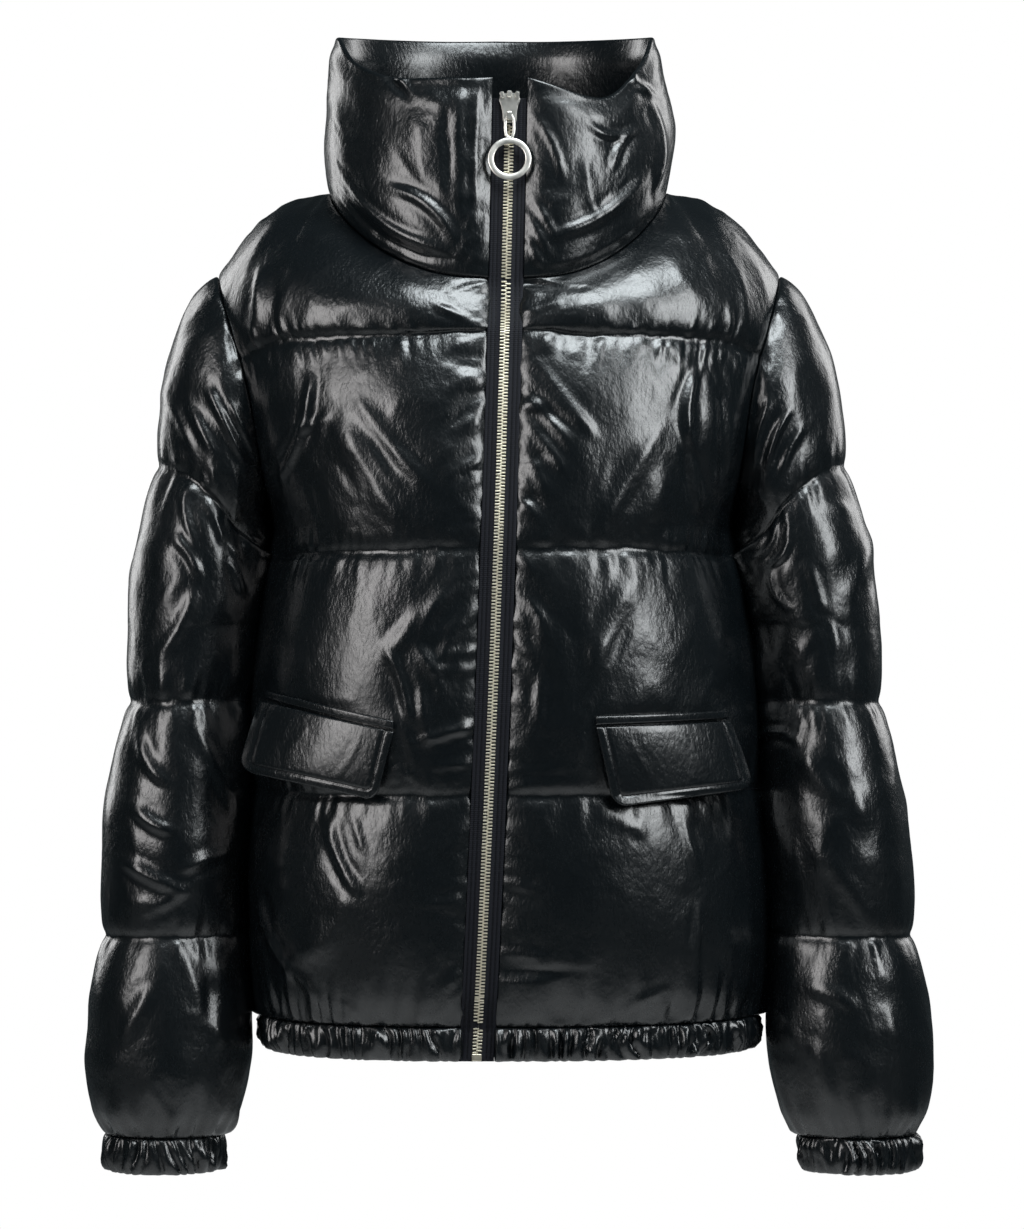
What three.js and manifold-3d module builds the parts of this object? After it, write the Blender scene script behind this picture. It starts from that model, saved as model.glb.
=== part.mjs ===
import * as THREE from 'three';
import { mergeVertices } from 'three/addons/utils/BufferGeometryUtils.js';
import Module from 'manifold-3d';

// A cropped, quilted puffer jacket, filled out as it is worn. Millimetres, +Z up, the front faces -Y.
// The origin is midway between the two points where the shoulder seams meet the neck seam.
// Right and left are the wearer's: the right side is at -X.

// Padded wall
const WALL = 13; // from the plain inside to the top of a bulge
const STITCH_DEPTH = 8.5; // how far a stitched line lies below the bulges
const SEAM_GAP = 0.3; // between two pieces at their seam
const BULGE_POWER = 2.4; // above 2 flattens the top of a bulge
const SIDE_PULL = 0.3; // share of a bulge lost at the side seams, the armhole takes all of it
const UNDERARM_PRESS = 0.65; // share of a stitched line's depth lost where sleeve and torso press together
const SECTION_POWER = 2.35; // 2 is an ellipse, more is squarer
const LEAN = 0.014; // sideways drift of the whole garment for each millimetre down

// Zip
const TAPE_HALF = 11.5;
const TAPE_DEPTH = 9.6; // its face below the bulges
const TAPE_THICK = 1.5;
const ZIP_TOP_Z = 53;
const ZIP_CURVE = { start: 7.44, slope: 0.034, bend: -2.68e-5 }; // its distance to the left, by height
const ZIP_PULL = 0.22; // share of a front's width that the zip draws flat

// Neck and shoulder
const NECK_HALF = 121;
const NECK_FRONT = { y: -112, z: -71 };
const NECK_BACK = { y: 105, z: 18 };
const SHOULDER_TIP = { x: 195, y: 3, z: -54 };
const NECK_SHARE = 0.68; // of a panel's top edge, the rest is its shoulder seam
const SHOULDER_RISE = 11; // of the shoulder seam above a straight line
const COLLAR_TOP = { half: 114, front: 100, back: 95 };

// Bands at the hem and the wrists
const HEM_TALL = 22;
const CUFF_TALL = 24;
const BAND_DEPTH = 5.5;
const GATHER_RISE = 2.2;

// The torso's outline, from hem seam to the top quilting line
const BODY_RINGS = [
  { z: -562, half: 175.5, front: 130, back: 125 },
  { z: -540, half: 176.5, front: 138, back: 131 },
  { z: -480, half: 176, front: 143, back: 133 },
  { z: -410, half: 174, front: 146, back: 135 },
  { z: -340, half: 170.3, front: 147, back: 137 },
  { z: -250, half: 160, front: 147, back: 139 },
  { z: -160, half: 155, front: 137, back: 141 },
  { z: -106, half: 155, front: 126, back: 138 },
];

// The sleeve's outline below the cap; centre is its distance from the middle
const SLEEVE_RINGS = [
  { z: -300, centre: 211.2, half: 46.5, deep: 63, forward: -3 },
  { z: -345, centre: 216, half: 46.7, deep: 62, forward: -8 },
  { z: -440, centre: 224.2, half: 49.6, deep: 60, forward: -14 },
  { z: -520, centre: 229.4, half: 53.4, deep: 58, forward: -18 },
  { z: -588, centre: 231.8, half: 55.8, deep: 57, forward: -21 },
  { z: -625, centre: 234, half: 53, deep: 54, forward: -22 },
  { z: -642, centre: 234.5, half: 47.5, deep: 48, forward: -22 },
];

// The armhole seam, from the shoulder tip down the front and up the back
const ARMHOLE = [
  [195, 3, -54],
  [191, -32, -70],
  [181, -56, -103],
  [170, -66, -143],
  [163, -61, -186],
  [158, -38, -219],
  [156, 0, -235],
  [158, 38, -218],
  [165, 59, -184],
  [174, 66, -142],
  [184, 56, -102],
  [192, 34, -70],
];
const ARMHOLE_LOW = 6; // the table's point at the underarm
const ARMHOLE_MIDDLE = [170, 0, -145];
const ARMHOLE_FLARE = 0.22; // how far its outward direction leans along its axis

// The collar's top edge, by angle from the front; each side has its own height
const COLLAR_EDGE = [
  { angle: 0, right: 60, left: 60 },
  { angle: 32, right: 61, left: 48 },
  { angle: 60, right: 75, left: 72 },
  { angle: 82, right: 96, left: 96 },
  { angle: 105, right: 101, left: 101 },
  { angle: 140, right: 105, left: 105 },
  { angle: 180, right: 107, left: 107 },
];

// Quilting lines of the torso, in bands from the hem seam up; the last band is the yoke
const BODY_LINES = [
  { middle: -562, side: -562 },
  { middle: -410, side: -410 },
  { middle: -250, side: -252 },
  { middle: -106, side: -123 },
];
const UNDERARM_STEP = 0.12; // share of the third band at which its rows reach the underarm
const UNDERARM_V = 2 + UNDERARM_STEP;
const UNDERARM_TURN_Z = -285; // above this the side seam's wall turns towards the underarm
const TOP_LINE_TURN = 2.35; // armhole point, counted along its table, where the top line ends
const SLEEVE_LINES = { first: { outer: -190, inner: -252 }, second: -350, third: -507 };
const FULL_CAP = 70; // length of cap from which its bulge is full

// Largest folds: where on the piece, their run in degrees from level, and their size
const FOLDS = [
  { piece: 'front_right', u: 0.84, v: 2.62, turn: 62, long: 0.5, wide: 0.09, rise: 3.5 },
  { piece: 'front_left', u: 0.82, v: 2.6, turn: -62, long: 0.5, wide: 0.09, rise: 3.5 },
  { piece: 'front_left', u: 0.62, v: 2.75, turn: -40, long: 0.45, wide: 0.09, rise: 3 },
  { piece: 'front_right', u: 0.3, v: 0.9, turn: 20, long: 0.35, wide: 0.1, rise: 3 },
  { piece: 'front_left', u: 0.28, v: 0.92, turn: -24, long: 0.35, wide: 0.1, rise: 3 },
  { piece: 'sleeve_right', u: 0.86, v: 2.7, turn: 12, long: 0.3, wide: 0.14, rise: 3.5 },
  { piece: 'sleeve_right', u: 0.2, v: 2.45, turn: -14, long: 0.3, wide: 0.14, rise: 3 },
  { piece: 'sleeve_left', u: 0.8, v: 2.6, turn: -10, long: 0.3, wide: 0.14, rise: 3 },
  { piece: 'sleeve_left', u: 0.25, v: 3.3, turn: 12, long: 0.3, wide: 0.14, rise: 3 },
  { piece: 'back', u: -0.5, v: 2.4, turn: 30, long: 0.5, wide: 0.12, rise: 3 },
  { piece: 'back', u: 0.52, v: 2.35, turn: -30, long: 0.5, wide: 0.12, rise: 3 },
  { piece: 'collar', u: -0.22, v: 0.3, turn: 14, long: 0.2, wide: 0.1, rise: 4 },
  { piece: 'collar', u: 0.24, v: 0.28, turn: -14, long: 0.2, wide: 0.1, rise: 4 },
  { piece: 'collar', u: 0.47, v: 0.42, turn: 0, long: 0.3, wide: 0.5, rise: 9 },
];

// Pocket flaps, as corners on the torso: distance from the middle and height
const FLAPS = [
  {
    side: 'right',
    innerTop: [72, -368],
    innerLow: [84, -413],
    outerTop: [157, -349],
    outerLow: [160, -396],
    flare: 15,
  },
  {
    side: 'left',
    innerTop: [59, -365],
    innerLow: [70, -417],
    outerTop: [146, -362],
    outerLow: [156, -407],
    flare: 9,
  },
];
const FLAP_THICK = 3;
const FLAP_STAND = { seam: 0.1, low: 7 }; // clear of the panel at its top edge, and more at its low edge
const WELT = { tall: 5.5, thick: 2.5, lift: 0.5, aboveFlap: 1.5 };

// Steps of the grids
const BAND_STEPS = [0, UNDERARM_STEP, 0.35, 0.65, 0.88, 1];
const NECK_COLUMNS = 9;
const SHOULDER_COLUMNS = 4;
const COLLAR_STEPS = [0, 0.12, 0.3, 0.5, 0.7, 0.86, 0.95, 1];

// Slider and pull
const SLIDER = { topZ: 52, tall: 20, topWide: 14, lowWide: 9, thick: 3, proud: 0.35 };
const BRIDGE = { wide: 3, hole: 3.4, bar: 1.3 };
const PULL = {
  thick: 1.8,
  bevel: 0.35,
  eyeWide: 7.8,
  eyeHole: 4.1,
  bar: 1.8,
  ringDrop: 29,
  ringOuter: 14.4,
  ringInner: 10.3,
  tilt: 6,
};

const wasm = await Module();
wasm.setup();

const vec = (x, y, z) => new THREE.Vector3(x, y, z);
const ARMHOLE_ACROSS = vec(0.97, 0, -0.24); // square to the armhole, towards the sleeve
const mix = (a, b, t) => a + (b - a) * t;
const clamp01 = (t) => Math.min(1, Math.max(0, t));
const ease = (t) => clamp01(t) ** 2 * (3 - 2 * clamp01(t));
const signedPower = (s, p) => Math.sign(s) * Math.abs(s) ** p;
const radians = (degrees) => (degrees * Math.PI) / 180;

// One named column of a table, by a smooth curve that never overshoots its rows.
function tableValue(table, key, name, at) {
  const last = table.length - 1;
  const rising = table[last][key] > table[0][key];
  const rows = rising ? table : [...table].reverse();
  if (at <= rows[0][key]) return rows[0][name];
  if (at >= rows[last][key]) return rows[last][name];
  const i = rows.findIndex((row, k) => at < rows[k + 1][key]);
  const slopeOf = (k) => (rows[k + 1][name] - rows[k][name]) / (rows[k + 1][key] - rows[k][key]);
  const tangent = (k) => {
    if (k === 0) return slopeOf(0);
    if (k === last) return slopeOf(last - 1);
    const before = slopeOf(k - 1);
    const after = slopeOf(k);
    return before * after <= 0 ? 0 : (2 * before * after) / (before + after);
  };
  const span = rows[i + 1][key] - rows[i][key];
  const t = (at - rows[i][key]) / span;
  return hermite(rows[i][name], tangent(i) * span, rows[i + 1][name], tangent(i + 1) * span, t);
}

function hermite(start, leave, end, arrive, t) {
  const t2 = t * t;
  const t3 = t2 * t;
  return (
    start * (2 * t3 - 3 * t2 + 1) + leave * (t3 - 2 * t2 + t) + end * (3 * t2 - 2 * t3) + arrive * (t3 - t2)
  );
}

function hermitePoint(start, leave, end, arrive, t) {
  return vec(
    hermite(start.x, leave.x, end.x, arrive.x, t),
    hermite(start.y, leave.y, end.y, arrive.y, t),
    hermite(start.z, leave.z, end.z, arrive.z, t),
  );
}

// A point of the closed armhole curve; turn counts its table's points.
function armholePoint(turn) {
  const n = ARMHOLE.length;
  const i = Math.floor(turn);
  const t = turn - i;
  const point = (k) => ARMHOLE[(((i + k) % n) + n) % n];
  const value = (c) => {
    const leave = (point(1)[c] - point(-1)[c]) / 2;
    const arrive = (point(2)[c] - point(0)[c]) / 2;
    return hermite(point(0)[c], leave, point(1)[c], arrive, t);
  };
  return vec(value(0), value(1), value(2));
}

// Outward direction at the armhole seam, shared by the torso and the sleeve.
function armholeOut(turn) {
  const out = armholePoint(turn).sub(vec(...ARMHOLE_MIDDLE));
  out.addScaledVector(ARMHOLE_ACROSS, -out.dot(ARMHOLE_ACROSS)).normalize();
  return out.addScaledVector(ARMHOLE_ACROSS, ARMHOLE_FLARE).normalize();
}

const zipMiddle = (z) => ZIP_CURVE.start + ZIP_CURVE.slope * z + ZIP_CURVE.bend * z * z;

// Where a panel starts: at the zip on the front, at the middle on the back.
const panelStart = (panel, z) => (panel.isFront ? panel.side * zipMiddle(z) + TAPE_HALF + SEAM_GAP : 0);

// The row's height at the middle.
function middleZ(v) {
  const band = Math.min(2, Math.floor(v));
  return mix(BODY_LINES[band].middle, BODY_LINES[band + 1].middle, v - band);
}

// The armhole point at which a front's row ends, from the underarm up to the shoulder tip.
function armholeTurn(v) {
  if (v > 3) return mix(TOP_LINE_TURN, 0, v - 3);
  return mix(ARMHOLE_LOW, TOP_LINE_TURN, (v - UNDERARM_V) / (3 - UNDERARM_V));
}

// The side edge of a torso panel: the side seam, then the armhole up to the shoulder tip.
function sideEdge(panel, v) {
  if (v < UNDERARM_V - 1e-6) {
    const low = BODY_LINES[Math.min(2, Math.floor(v))].side;
    const high = v < 2 ? BODY_LINES[Math.floor(v) + 1].side : ARMHOLE[ARMHOLE_LOW][2];
    const z = mix(low, high, v < 2 ? v - Math.floor(v) : (v - 2) / UNDERARM_STEP);
    const rise = clamp01((z - UNDERARM_TURN_Z) / (ARMHOLE[ARMHOLE_LOW][2] - UNDERARM_TURN_Z));
    const turned = (rise ** 3 * Math.PI) / 2;
    const half = tableValue(BODY_RINGS, 'z', 'half', z);
    const x = mix(half, ARMHOLE[ARMHOLE_LOW][0], clamp01((v - 2) / UNDERARM_STEP));
    return { point: vec(x, 0, z), out: vec(Math.cos(turned), 0, -Math.sin(turned)) };
  }
  const turn = panel.isFront ? armholeTurn(v) : ARMHOLE.length - armholeTurn(v);
  return { point: armholePoint(turn), out: armholeOut(turn) };
}

// Angle round the torso's section at a distance from the middle.
function sectionAngle(share) {
  return Math.asin(THREE.MathUtils.clamp(signedPower(share, SECTION_POWER / 2), -1, 1));
}

// A point of a torso row below the yoke, on the half with x above 0.
function rowPoint(panel, u, v) {
  const z = middleZ(v);
  const end = sideEdge(panel, v).point;
  const deep = tableValue(BODY_RINGS, 'z', panel.isFront ? 'front' : 'back', z);
  const lastAngle = Math.acos(clamp01(Math.abs(end.y) / deep) ** (SECTION_POWER / 2));
  const half = end.x / Math.sin(lastAngle) ** (2 / SECTION_POWER);
  const firstAngle = sectionAngle(panelStart(panel, z) / half);
  const x = half * signedPower(Math.sin(mix(firstAngle, lastAngle, u)), 2 / SECTION_POWER);
  const y = deep * Math.max(0, Math.cos(lastAngle * u)) ** (2 / SECTION_POWER);
  return vec(x, panel.isFront ? -y : y, mix(z, end.z, u * u));
}

// A panel's top edge: the neck seam, then the shoulder seam.
function topPoint(panel, u) {
  const neck = panel.isFront ? NECK_FRONT : NECK_BACK;
  if (u <= NECK_SHARE) {
    const first = Math.asin(panelStart(panel, neck.z) / NECK_HALF);
    const share = u / NECK_SHARE;
    const drop = Math.max(0, Math.cos((share * Math.PI) / 2));
    return vec(NECK_HALF * Math.sin(mix(first, Math.PI / 2, share)), neck.y * drop, neck.z * drop ** 1.4);
  }
  const t = (u - NECK_SHARE) / (1 - NECK_SHARE);
  const { x, y, z } = SHOULDER_TIP;
  return vec(mix(NECK_HALF, x, t), y * t, z * t + SHOULDER_RISE * Math.sin(Math.PI * t));
}

// Outward direction along a panel's top edge, shared with the collar and the facing panel.
function topOut(panel, u) {
  const ahead = panel.isFront ? -1 : 1;
  if (u > NECK_SHARE) {
    const t = (u - NECK_SHARE) / (1 - NECK_SHARE);
    return vec(0.8, 0, 0.6).lerp(armholeOut(0), t).normalize();
  }
  const angle = (u / NECK_SHARE) * (Math.PI / 2);
  const rise = 0.1 + 0.65 * Math.sin(angle) ** 2;
  const out = vec(Math.sin(angle), ahead * Math.cos(angle), rise).normalize();
  return panel.isFront ? out.lerp(vec(0, -1, 0), zipHold(u)).normalize() : out;
}

const zipHold = (u) => ease(1 - u / 0.16);

// Direction in which a panel's surface arrives at its top edge.
function topArrival(panel, u) {
  const ahead = panel.isFront ? 1 : -1;
  const share = Math.min(1, u / NECK_SHARE);
  const over = u > NECK_SHARE ? (u - NECK_SHARE) / (1 - NECK_SHARE) : 0;
  const across = panel.isFront ? mix(0.1, 1, share) : mix(0.55, 1, share);
  return vec(0, ahead * across, mix(mix(1, 0.45, share), 0.1, over)).normalize();
}

function yokePoint(panel, u, t) {
  const low = rowPoint(panel, u, 3);
  const high = topPoint(panel, u);
  const long = low.distanceTo(high);
  const leave = low.clone().sub(rowPoint(panel, u, 2.9)).normalize().multiplyScalar(long);
  return hermitePoint(low, leave, high, topArrival(panel, u).multiplyScalar(long * 0.9), t);
}

// The torso's outline at a panel's place; u runs from the middle to the side, v up in bands.
function torsoPoint(panel, u, v) {
  if (v <= 3) return rowPoint(panel, u, v);
  const point = yokePoint(panel, u, v - 3);
  const edge = sideEdge(panel, v).point.sub(yokePoint(panel, 1, v - 3));
  return point.addScaledVector(edge, u ** 4);
}

// A surface's own outward direction, from its slopes.
function slopeOut(surface, u, v, uMax, vMax, inside) {
  const du = 0.01 * (u + 0.01 > uMax ? -1 : 1);
  const dv = 0.02 * (v + 0.02 > vMax ? -1 : 1);
  const here = surface(u, v);
  const along = surface(u + du, v).sub(here).multiplyScalar(Math.sign(du));
  const up = surface(u, v + dv).sub(here).multiplyScalar(Math.sign(dv));
  const out = along.cross(up).normalize();
  return out.dot(here.clone().sub(inside)) < 0 ? out.negate() : out;
}

function torsoOut(panel, u, v) {
  const surface = (a, b) => torsoPoint(panel, a, b);
  const middle = v > 3 ? vec(40, 0, -160) : vec(0, 0, middleZ(v));
  const out = slopeOut(surface, u, v, 1, 4, middle);
  const level = vec(out.x, out.y, 0).normalize();
  out.lerp(level, ease(1 - v / 0.3)).normalize();
  out.lerp(topOut(panel, u), ease((v - 3.55) / 0.45)).normalize();
  const hold = mix(0.9, 0.74, ease((v - 2) / 0.6));
  out.lerp(sideEdge(panel, v).out, ease((u - hold) / (1 - hold))).normalize();
  if (panel.isFront) out.lerp(vec(0, -1, 0), zipHold(u));
  return out.normalize();
}

// Share of a bulge lost near one edge; reach is how far in the pull of the stitches is felt.
const edgePull = (distance, reach, share) => share * clamp01(1 - distance / reach) ** 2;
const bandPull = (t) => Math.abs(2 * t - 1) ** BULGE_POWER;

function foldRise(piece, u, v) {
  let rise = 0;
  for (const fold of FOLDS) {
    if (fold.piece !== piece) continue;
    const a = radians(fold.turn);
    const du = u - fold.u;
    const dv = v - fold.v;
    const along = (du * Math.cos(a) + dv * Math.sin(a)) / fold.long;
    const across = (dv * Math.cos(a) - du * Math.sin(a)) / fold.wide;
    const ridge = Math.exp(-across * across * 2);
    const troughs = 0.5 * Math.exp(-across * across * 0.5);
    rise += fold.rise * Math.exp(-along * along * 4) * (ridge - troughs);
  }
  return rise;
}

// Depth of a torso panel's outer face below its outline.
function torsoDepth(panel, u, v) {
  const band = Math.min(3, Math.floor(v));
  const t = v - band;
  const shoulder = v > 3.5 ? mix(1, 0.4, ease((u - NECK_SHARE) / 0.1) * ease((1 - u) / 0.12)) : 1;
  const pressed = UNDERARM_PRESS * ease((u - 0.75) / 0.25) * ease((2.1 - v) / 0.2);
  const sidePull = v > UNDERARM_V ? 1 : mix(SIDE_PULL, 1, ease((v - 1.6) / 0.5));
  let full = 1 - shoulder * (1 - pressed) * bandPull(t);
  full *= 1 - edgePull(1 - u, 0.2, sidePull);
  if (panel.isFront) full *= 1 - edgePull(u, ZIP_PULL, 1);
  const place = panel.isFront ? u : panel.side * u;
  return clamp01(1 - full) * STITCH_DEPTH - foldRise(panel.name, place, v) * full;
}

// A sleeve column's place: turn counts the armhole's points, s runs 0 to 1 in the cap and to 2 below it.
function sleeveRingPoint(turn, z) {
  const value = (name) => tableValue(SLEEVE_RINGS, 'z', name, z);
  const angle = (turn / 12) * 2 * Math.PI;
  return vec(
    value('centre') + value('half') * Math.cos(angle),
    value('forward') - value('deep') * Math.sin(angle),
    z,
  );
}

function sleeveOutline(turn, s) {
  const capZ = SLEEVE_RINGS[0].z;
  if (s >= 1) return sleeveRingPoint(turn, mix(capZ, SLEEVE_RINGS.at(-1).z, s - 1));
  const start = armholePoint(turn);
  const end = sleeveRingPoint(turn, capZ);
  const long = start.distanceTo(end);
  const spread = 0.65 * (1 + Math.cos((turn / 6) * Math.PI));
  const leave = vec(0.24 + 0.97 * spread, 0, -0.97 - 0.24 * spread).normalize().multiplyScalar(long * 0.6);
  return hermitePoint(start, leave, end, vec(0.12, 0, -0.99).multiplyScalar(long * 0.8), s);
}

// Where a column of the sleeve reaches a height.
function sleeveReach(turn, z) {
  let low = 0;
  let high = 2;
  for (let i = 0; i < 30; i += 1) {
    const half = (low + high) / 2;
    if (sleeveOutline(turn, half).z > z) low = half;
    else high = half;
  }
  return low;
}

function sleeveLines(turn) {
  const inner = (1 - Math.cos((turn / 6) * Math.PI)) / 2;
  const first = sleeveReach(turn, mix(SLEEVE_LINES.first.outer, SLEEVE_LINES.first.inner, inner ** 1.5));
  return [0, first, sleeveReach(turn, SLEEVE_LINES.second), sleeveReach(turn, SLEEVE_LINES.third), 2];
}

const sleeveStep = (turn, v) => {
  const lines = sleeveLines(turn);
  const band = Math.min(3, Math.floor(v));
  return mix(lines[band], lines[band + 1], v - band);
};

function sleeveOut(turn, v) {
  const s = sleeveStep(turn, v);
  const here = sleeveOutline(turn, s);
  const side = sleeveOutline(turn + 0.05, s).sub(sleeveOutline(turn - 0.05, s));
  const down = sleeveOutline(turn, Math.min(2, s + 0.02)).sub(sleeveOutline(turn, Math.max(0, s - 0.02)));
  const out = side.cross(down).normalize();
  const middle = vec(tableValue(SLEEVE_RINGS, 'z', 'centre', here.z), 0, here.z);
  if (out.dot(here.clone().sub(middle)) < 0) out.negate();
  const level = vec(out.x, out.y, 0).normalize();
  out.lerp(level, ease((v - 3.6) / 0.4)).normalize();
  const fromSeam = here.distanceTo(armholePoint(turn));
  const reach = 36 + 14 * Math.cos((turn / 6) * Math.PI);
  return out.lerp(armholeOut(turn), ease(1 - fromSeam / reach)).normalize();
}

function sleeveDepth(name, turn, v) {
  const band = Math.min(3, Math.floor(v));
  const capLength = sleeveOutline(turn, sleeveStep(turn, 1)).distanceTo(armholePoint(turn));
  const short = band === 0 ? clamp01(capLength / FULL_CAP) : 1;
  const inner = (1 - Math.cos((turn / 6) * Math.PI)) / 2;
  const pressed = UNDERARM_PRESS * ease((inner - 0.75) / 0.25) * ease((v - 0.9) / 0.1);
  const full = short * (1 - (1 - pressed) * bandPull(v - band));
  return (1 - full) * STITCH_DEPTH - foldRise(name, turn / 12, v) * full;
}

// Collar: u runs from the zip round to the middle of the back, t up.
function collarEnds(side, isFront, u) {
  const panel = { side, isFront };
  const low = topPoint(panel, u * NECK_SHARE);
  const edge = side > 0 ? 'left' : 'right';
  const height = (angle) => tableValue(COLLAR_EDGE, 'angle', edge, THREE.MathUtils.radToDeg(angle));
  const first = isFront ? Math.asin(panelStart(panel, 60) / COLLAR_TOP.half) : 0;
  const turn = (u * Math.PI) / 2;
  const y = isFront ? -COLLAR_TOP.front * Math.cos(turn) : COLLAR_TOP.back * Math.cos(turn);
  const x = COLLAR_TOP.half * Math.sin(mix(first, Math.PI / 2, u));
  return [low, vec(x, y, height(isFront ? turn : Math.PI - turn))];
}

function collarPoint(side, isFront, u, t) {
  const [low, high] = collarEnds(side, isFront, u);
  const long = low.distanceTo(high);
  const point = hermitePoint(low, vec(0, 0, long), high, vec(0, 0, long), t);
  if (isFront) point.x += (1 - u) ** 4 * (panelStart({ side, isFront }, point.z) - collarStartX(side, t));
  return point;
}

function collarStartX(side, t) {
  const [low, high] = collarEnds(side, true, 0);
  return mix(low.x, high.x, t * t * (3 - 2 * t));
}

function collarOut(side, isFront, u, t) {
  const surface = (a, b) => collarPoint(side, isFront, a, b);
  const out = slopeOut(surface, u, t, 1, 1, vec(0, 0, 20));
  out.z *= 0.3;
  out.lerp(topOut({ side, isFront }, u * NECK_SHARE), ease(1 - t / 0.4)).normalize();
  if (u > 0.985) out.y = 0;
  if (isFront) out.lerp(vec(0, -1, 0), zipHold(u * NECK_SHARE));
  return out.normalize();
}

function collarDepth(side, isFront, u, t) {
  const round = isFront ? u / 2 : 1 - u / 2;
  let full = (1 - clamp01(1 - t / 0.34) ** 2) * (1 - 0.5 * ease((t - 0.84) / 0.16) ** 2);
  if (isFront) full *= 1 - edgePull(u, 0.2, 1);
  return (1 - full) * STITCH_DEPTH - foldRise('collar', side * round, t) * full;
}
const collarInside = (t) => WALL - 3.5 * ease((t - 0.88) / 0.12);

// Grids of points

const lean = (point) => point.setX(point.x - LEAN * point.z);

// A wall's outer and inner points at one place; side mirrors them.
function wallAt(point, out, depth, inside, side) {
  const outer = point.clone().addScaledVector(out, -depth);
  const inner = point.clone().addScaledVector(out, -inside);
  outer.x *= side;
  inner.x *= side;
  return { outer: lean(outer), inner: lean(inner) };
}

// Moves an edge's points in by half a seam's gap, towards the next points of the grid.
function trimEdge(cells, nextCells) {
  cells.forEach((cell, i) => {
    for (const key of ['outer', 'inner']) {
      const step = nextCells[i][key].clone().sub(cell[key]);
      cell[key].addScaledVector(step.normalize(), SEAM_GAP / 2);
    }
  });
}

// The armhole's edges part along its own axis, away from each other.
function partArmhole(cells, side, towards) {
  for (const cell of cells) {
    const step = ARMHOLE_ACROSS.clone().multiplyScalar((towards * SEAM_GAP) / 2);
    step.x *= side;
    cell.outer.add(step);
    cell.inner.add(step);
  }
}

function trimGrid(grid, { low = true, high = true, start = true, end = true }) {
  const last = grid.length - 1;
  const isSideSeam = (_, j) => bodySteps[j] <= UNDERARM_V;
  const column = (k) => grid.map((row) => row.at(k)).filter(isSideSeam);
  if (low) trimEdge(grid[0], grid[1]);
  if (high) trimEdge(grid[last], grid[last - 1]);
  if (start) trimEdge(column(0), column(1));
  if (end) trimEdge(column(-1), column(-2));
}

// A closed body from a grid of cells: outer face, inner face and the rims between them.
function wallGeometry(grid, closed = false) {
  const rows = grid.length;
  const columns = grid[0].length;
  const points = [];
  for (const key of ['outer', 'inner']) {
    for (const row of grid) for (const cell of row) points.push(cell[key]);
  }
  const id = (layer, j, i) => layer * rows * columns + j * columns + (i % columns);
  const faces = [];
  const quad = (a, b, c, d) => {
    const isShort = points[a].distanceTo(points[c]) <= points[b].distanceTo(points[d]);
    faces.push(...(isShort ? [a, b, c, a, c, d] : [a, b, d, b, c, d]));
  };
  // A rim's diagonal leaves the outer face at the higher end, so facing rims are split alike.
  const height = (k) => points[k].z + 0.37 * points[k].x + 0.11 * points[k].y;
  const rim = (innerA, innerB, outerB, outerA) => {
    const isFirst = height(outerA) > height(outerB);
    faces.push(
      ...(isFirst
        ? [innerA, innerB, outerA, innerB, outerB, outerA]
        : [innerA, innerB, outerB, innerA, outerB, outerA]),
    );
  };
  const across = closed ? columns : columns - 1;
  for (let i = 0; i < across; i += 1) {
    for (let j = 0; j < rows - 1; j += 1) {
      quad(id(0, j, i), id(0, j, i + 1), id(0, j + 1, i + 1), id(0, j + 1, i));
      quad(id(1, j, i), id(1, j + 1, i), id(1, j + 1, i + 1), id(1, j, i + 1));
    }
    const top = rows - 1;
    rim(id(1, 0, i), id(1, 0, i + 1), id(0, 0, i + 1), id(0, 0, i));
    rim(id(1, top, i + 1), id(1, top, i), id(0, top, i), id(0, top, i + 1));
  }
  if (!closed) {
    for (let j = 0; j < rows - 1; j += 1) {
      const end = columns - 1;
      rim(id(1, j + 1, 0), id(1, j, 0), id(0, j, 0), id(0, j + 1, 0));
      rim(id(1, j, end), id(1, j + 1, end), id(0, j + 1, end), id(0, j, end));
    }
  }
  return solidGeometry(points, faces);
}

function solidGeometry(points, faces) {
  let volume = 0;
  for (let i = 0; i < faces.length; i += 3) {
    const [a, b, c] = [points[faces[i]], points[faces[i + 1]], points[faces[i + 2]]];
    volume += a.dot(b.clone().cross(c));
  }
  const turnedFace = (_, i) => (i % 3 ? [] : [faces[i], faces[i + 2], faces[i + 1]]);
  const turned = volume < 0 ? faces.flatMap(turnedFace) : faces;
  const values = points.flatMap((p) => [p.x, p.y, p.z]);
  const geometry = new THREE.BufferGeometry();
  geometry.setAttribute('position', new THREE.Float32BufferAttribute(values, 3));
  geometry.setIndex(turned);
  geometry.computeVertexNormals();
  return geometry;
}

const bodySteps = [0, 1, 2, 3].flatMap((band) => BAND_STEPS.slice(band ? 1 : 0).map((t) => band + t));
const columnSteps = [
  ...Array.from({ length: NECK_COLUMNS + 1 }, (_, i) => (i / NECK_COLUMNS) * NECK_SHARE),
  ...Array.from({ length: SHOULDER_COLUMNS }, (_, i) => mix(NECK_SHARE, 1, (i + 1) / SHOULDER_COLUMNS)),
];

function torsoCell(panel, u, v) {
  return wallAt(torsoPoint(panel, u, v), torsoOut(panel, u, v), torsoDepth(panel, u, v), WALL, panel.side);
}

const PANELS = {
  front_right: { name: 'front_right', isFront: true, side: -1 },
  front_left: { name: 'front_left', isFront: true, side: 1 },
  back_right: { name: 'back', isFront: false, side: -1 },
  back_left: { name: 'back', isFront: false, side: 1 },
};

function frontGrid(panel) {
  return bodySteps.map((v) => columnSteps.map((u) => torsoCell(panel, u, v)));
}

function backGrid() {
  return bodySteps.map((v) => [
    ...columnSteps.slice(1).reverse().map((u) => torsoCell(PANELS.back_right, u, v)),
    ...columnSteps.map((u) => torsoCell(PANELS.back_left, u, v)),
  ]);
}

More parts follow.
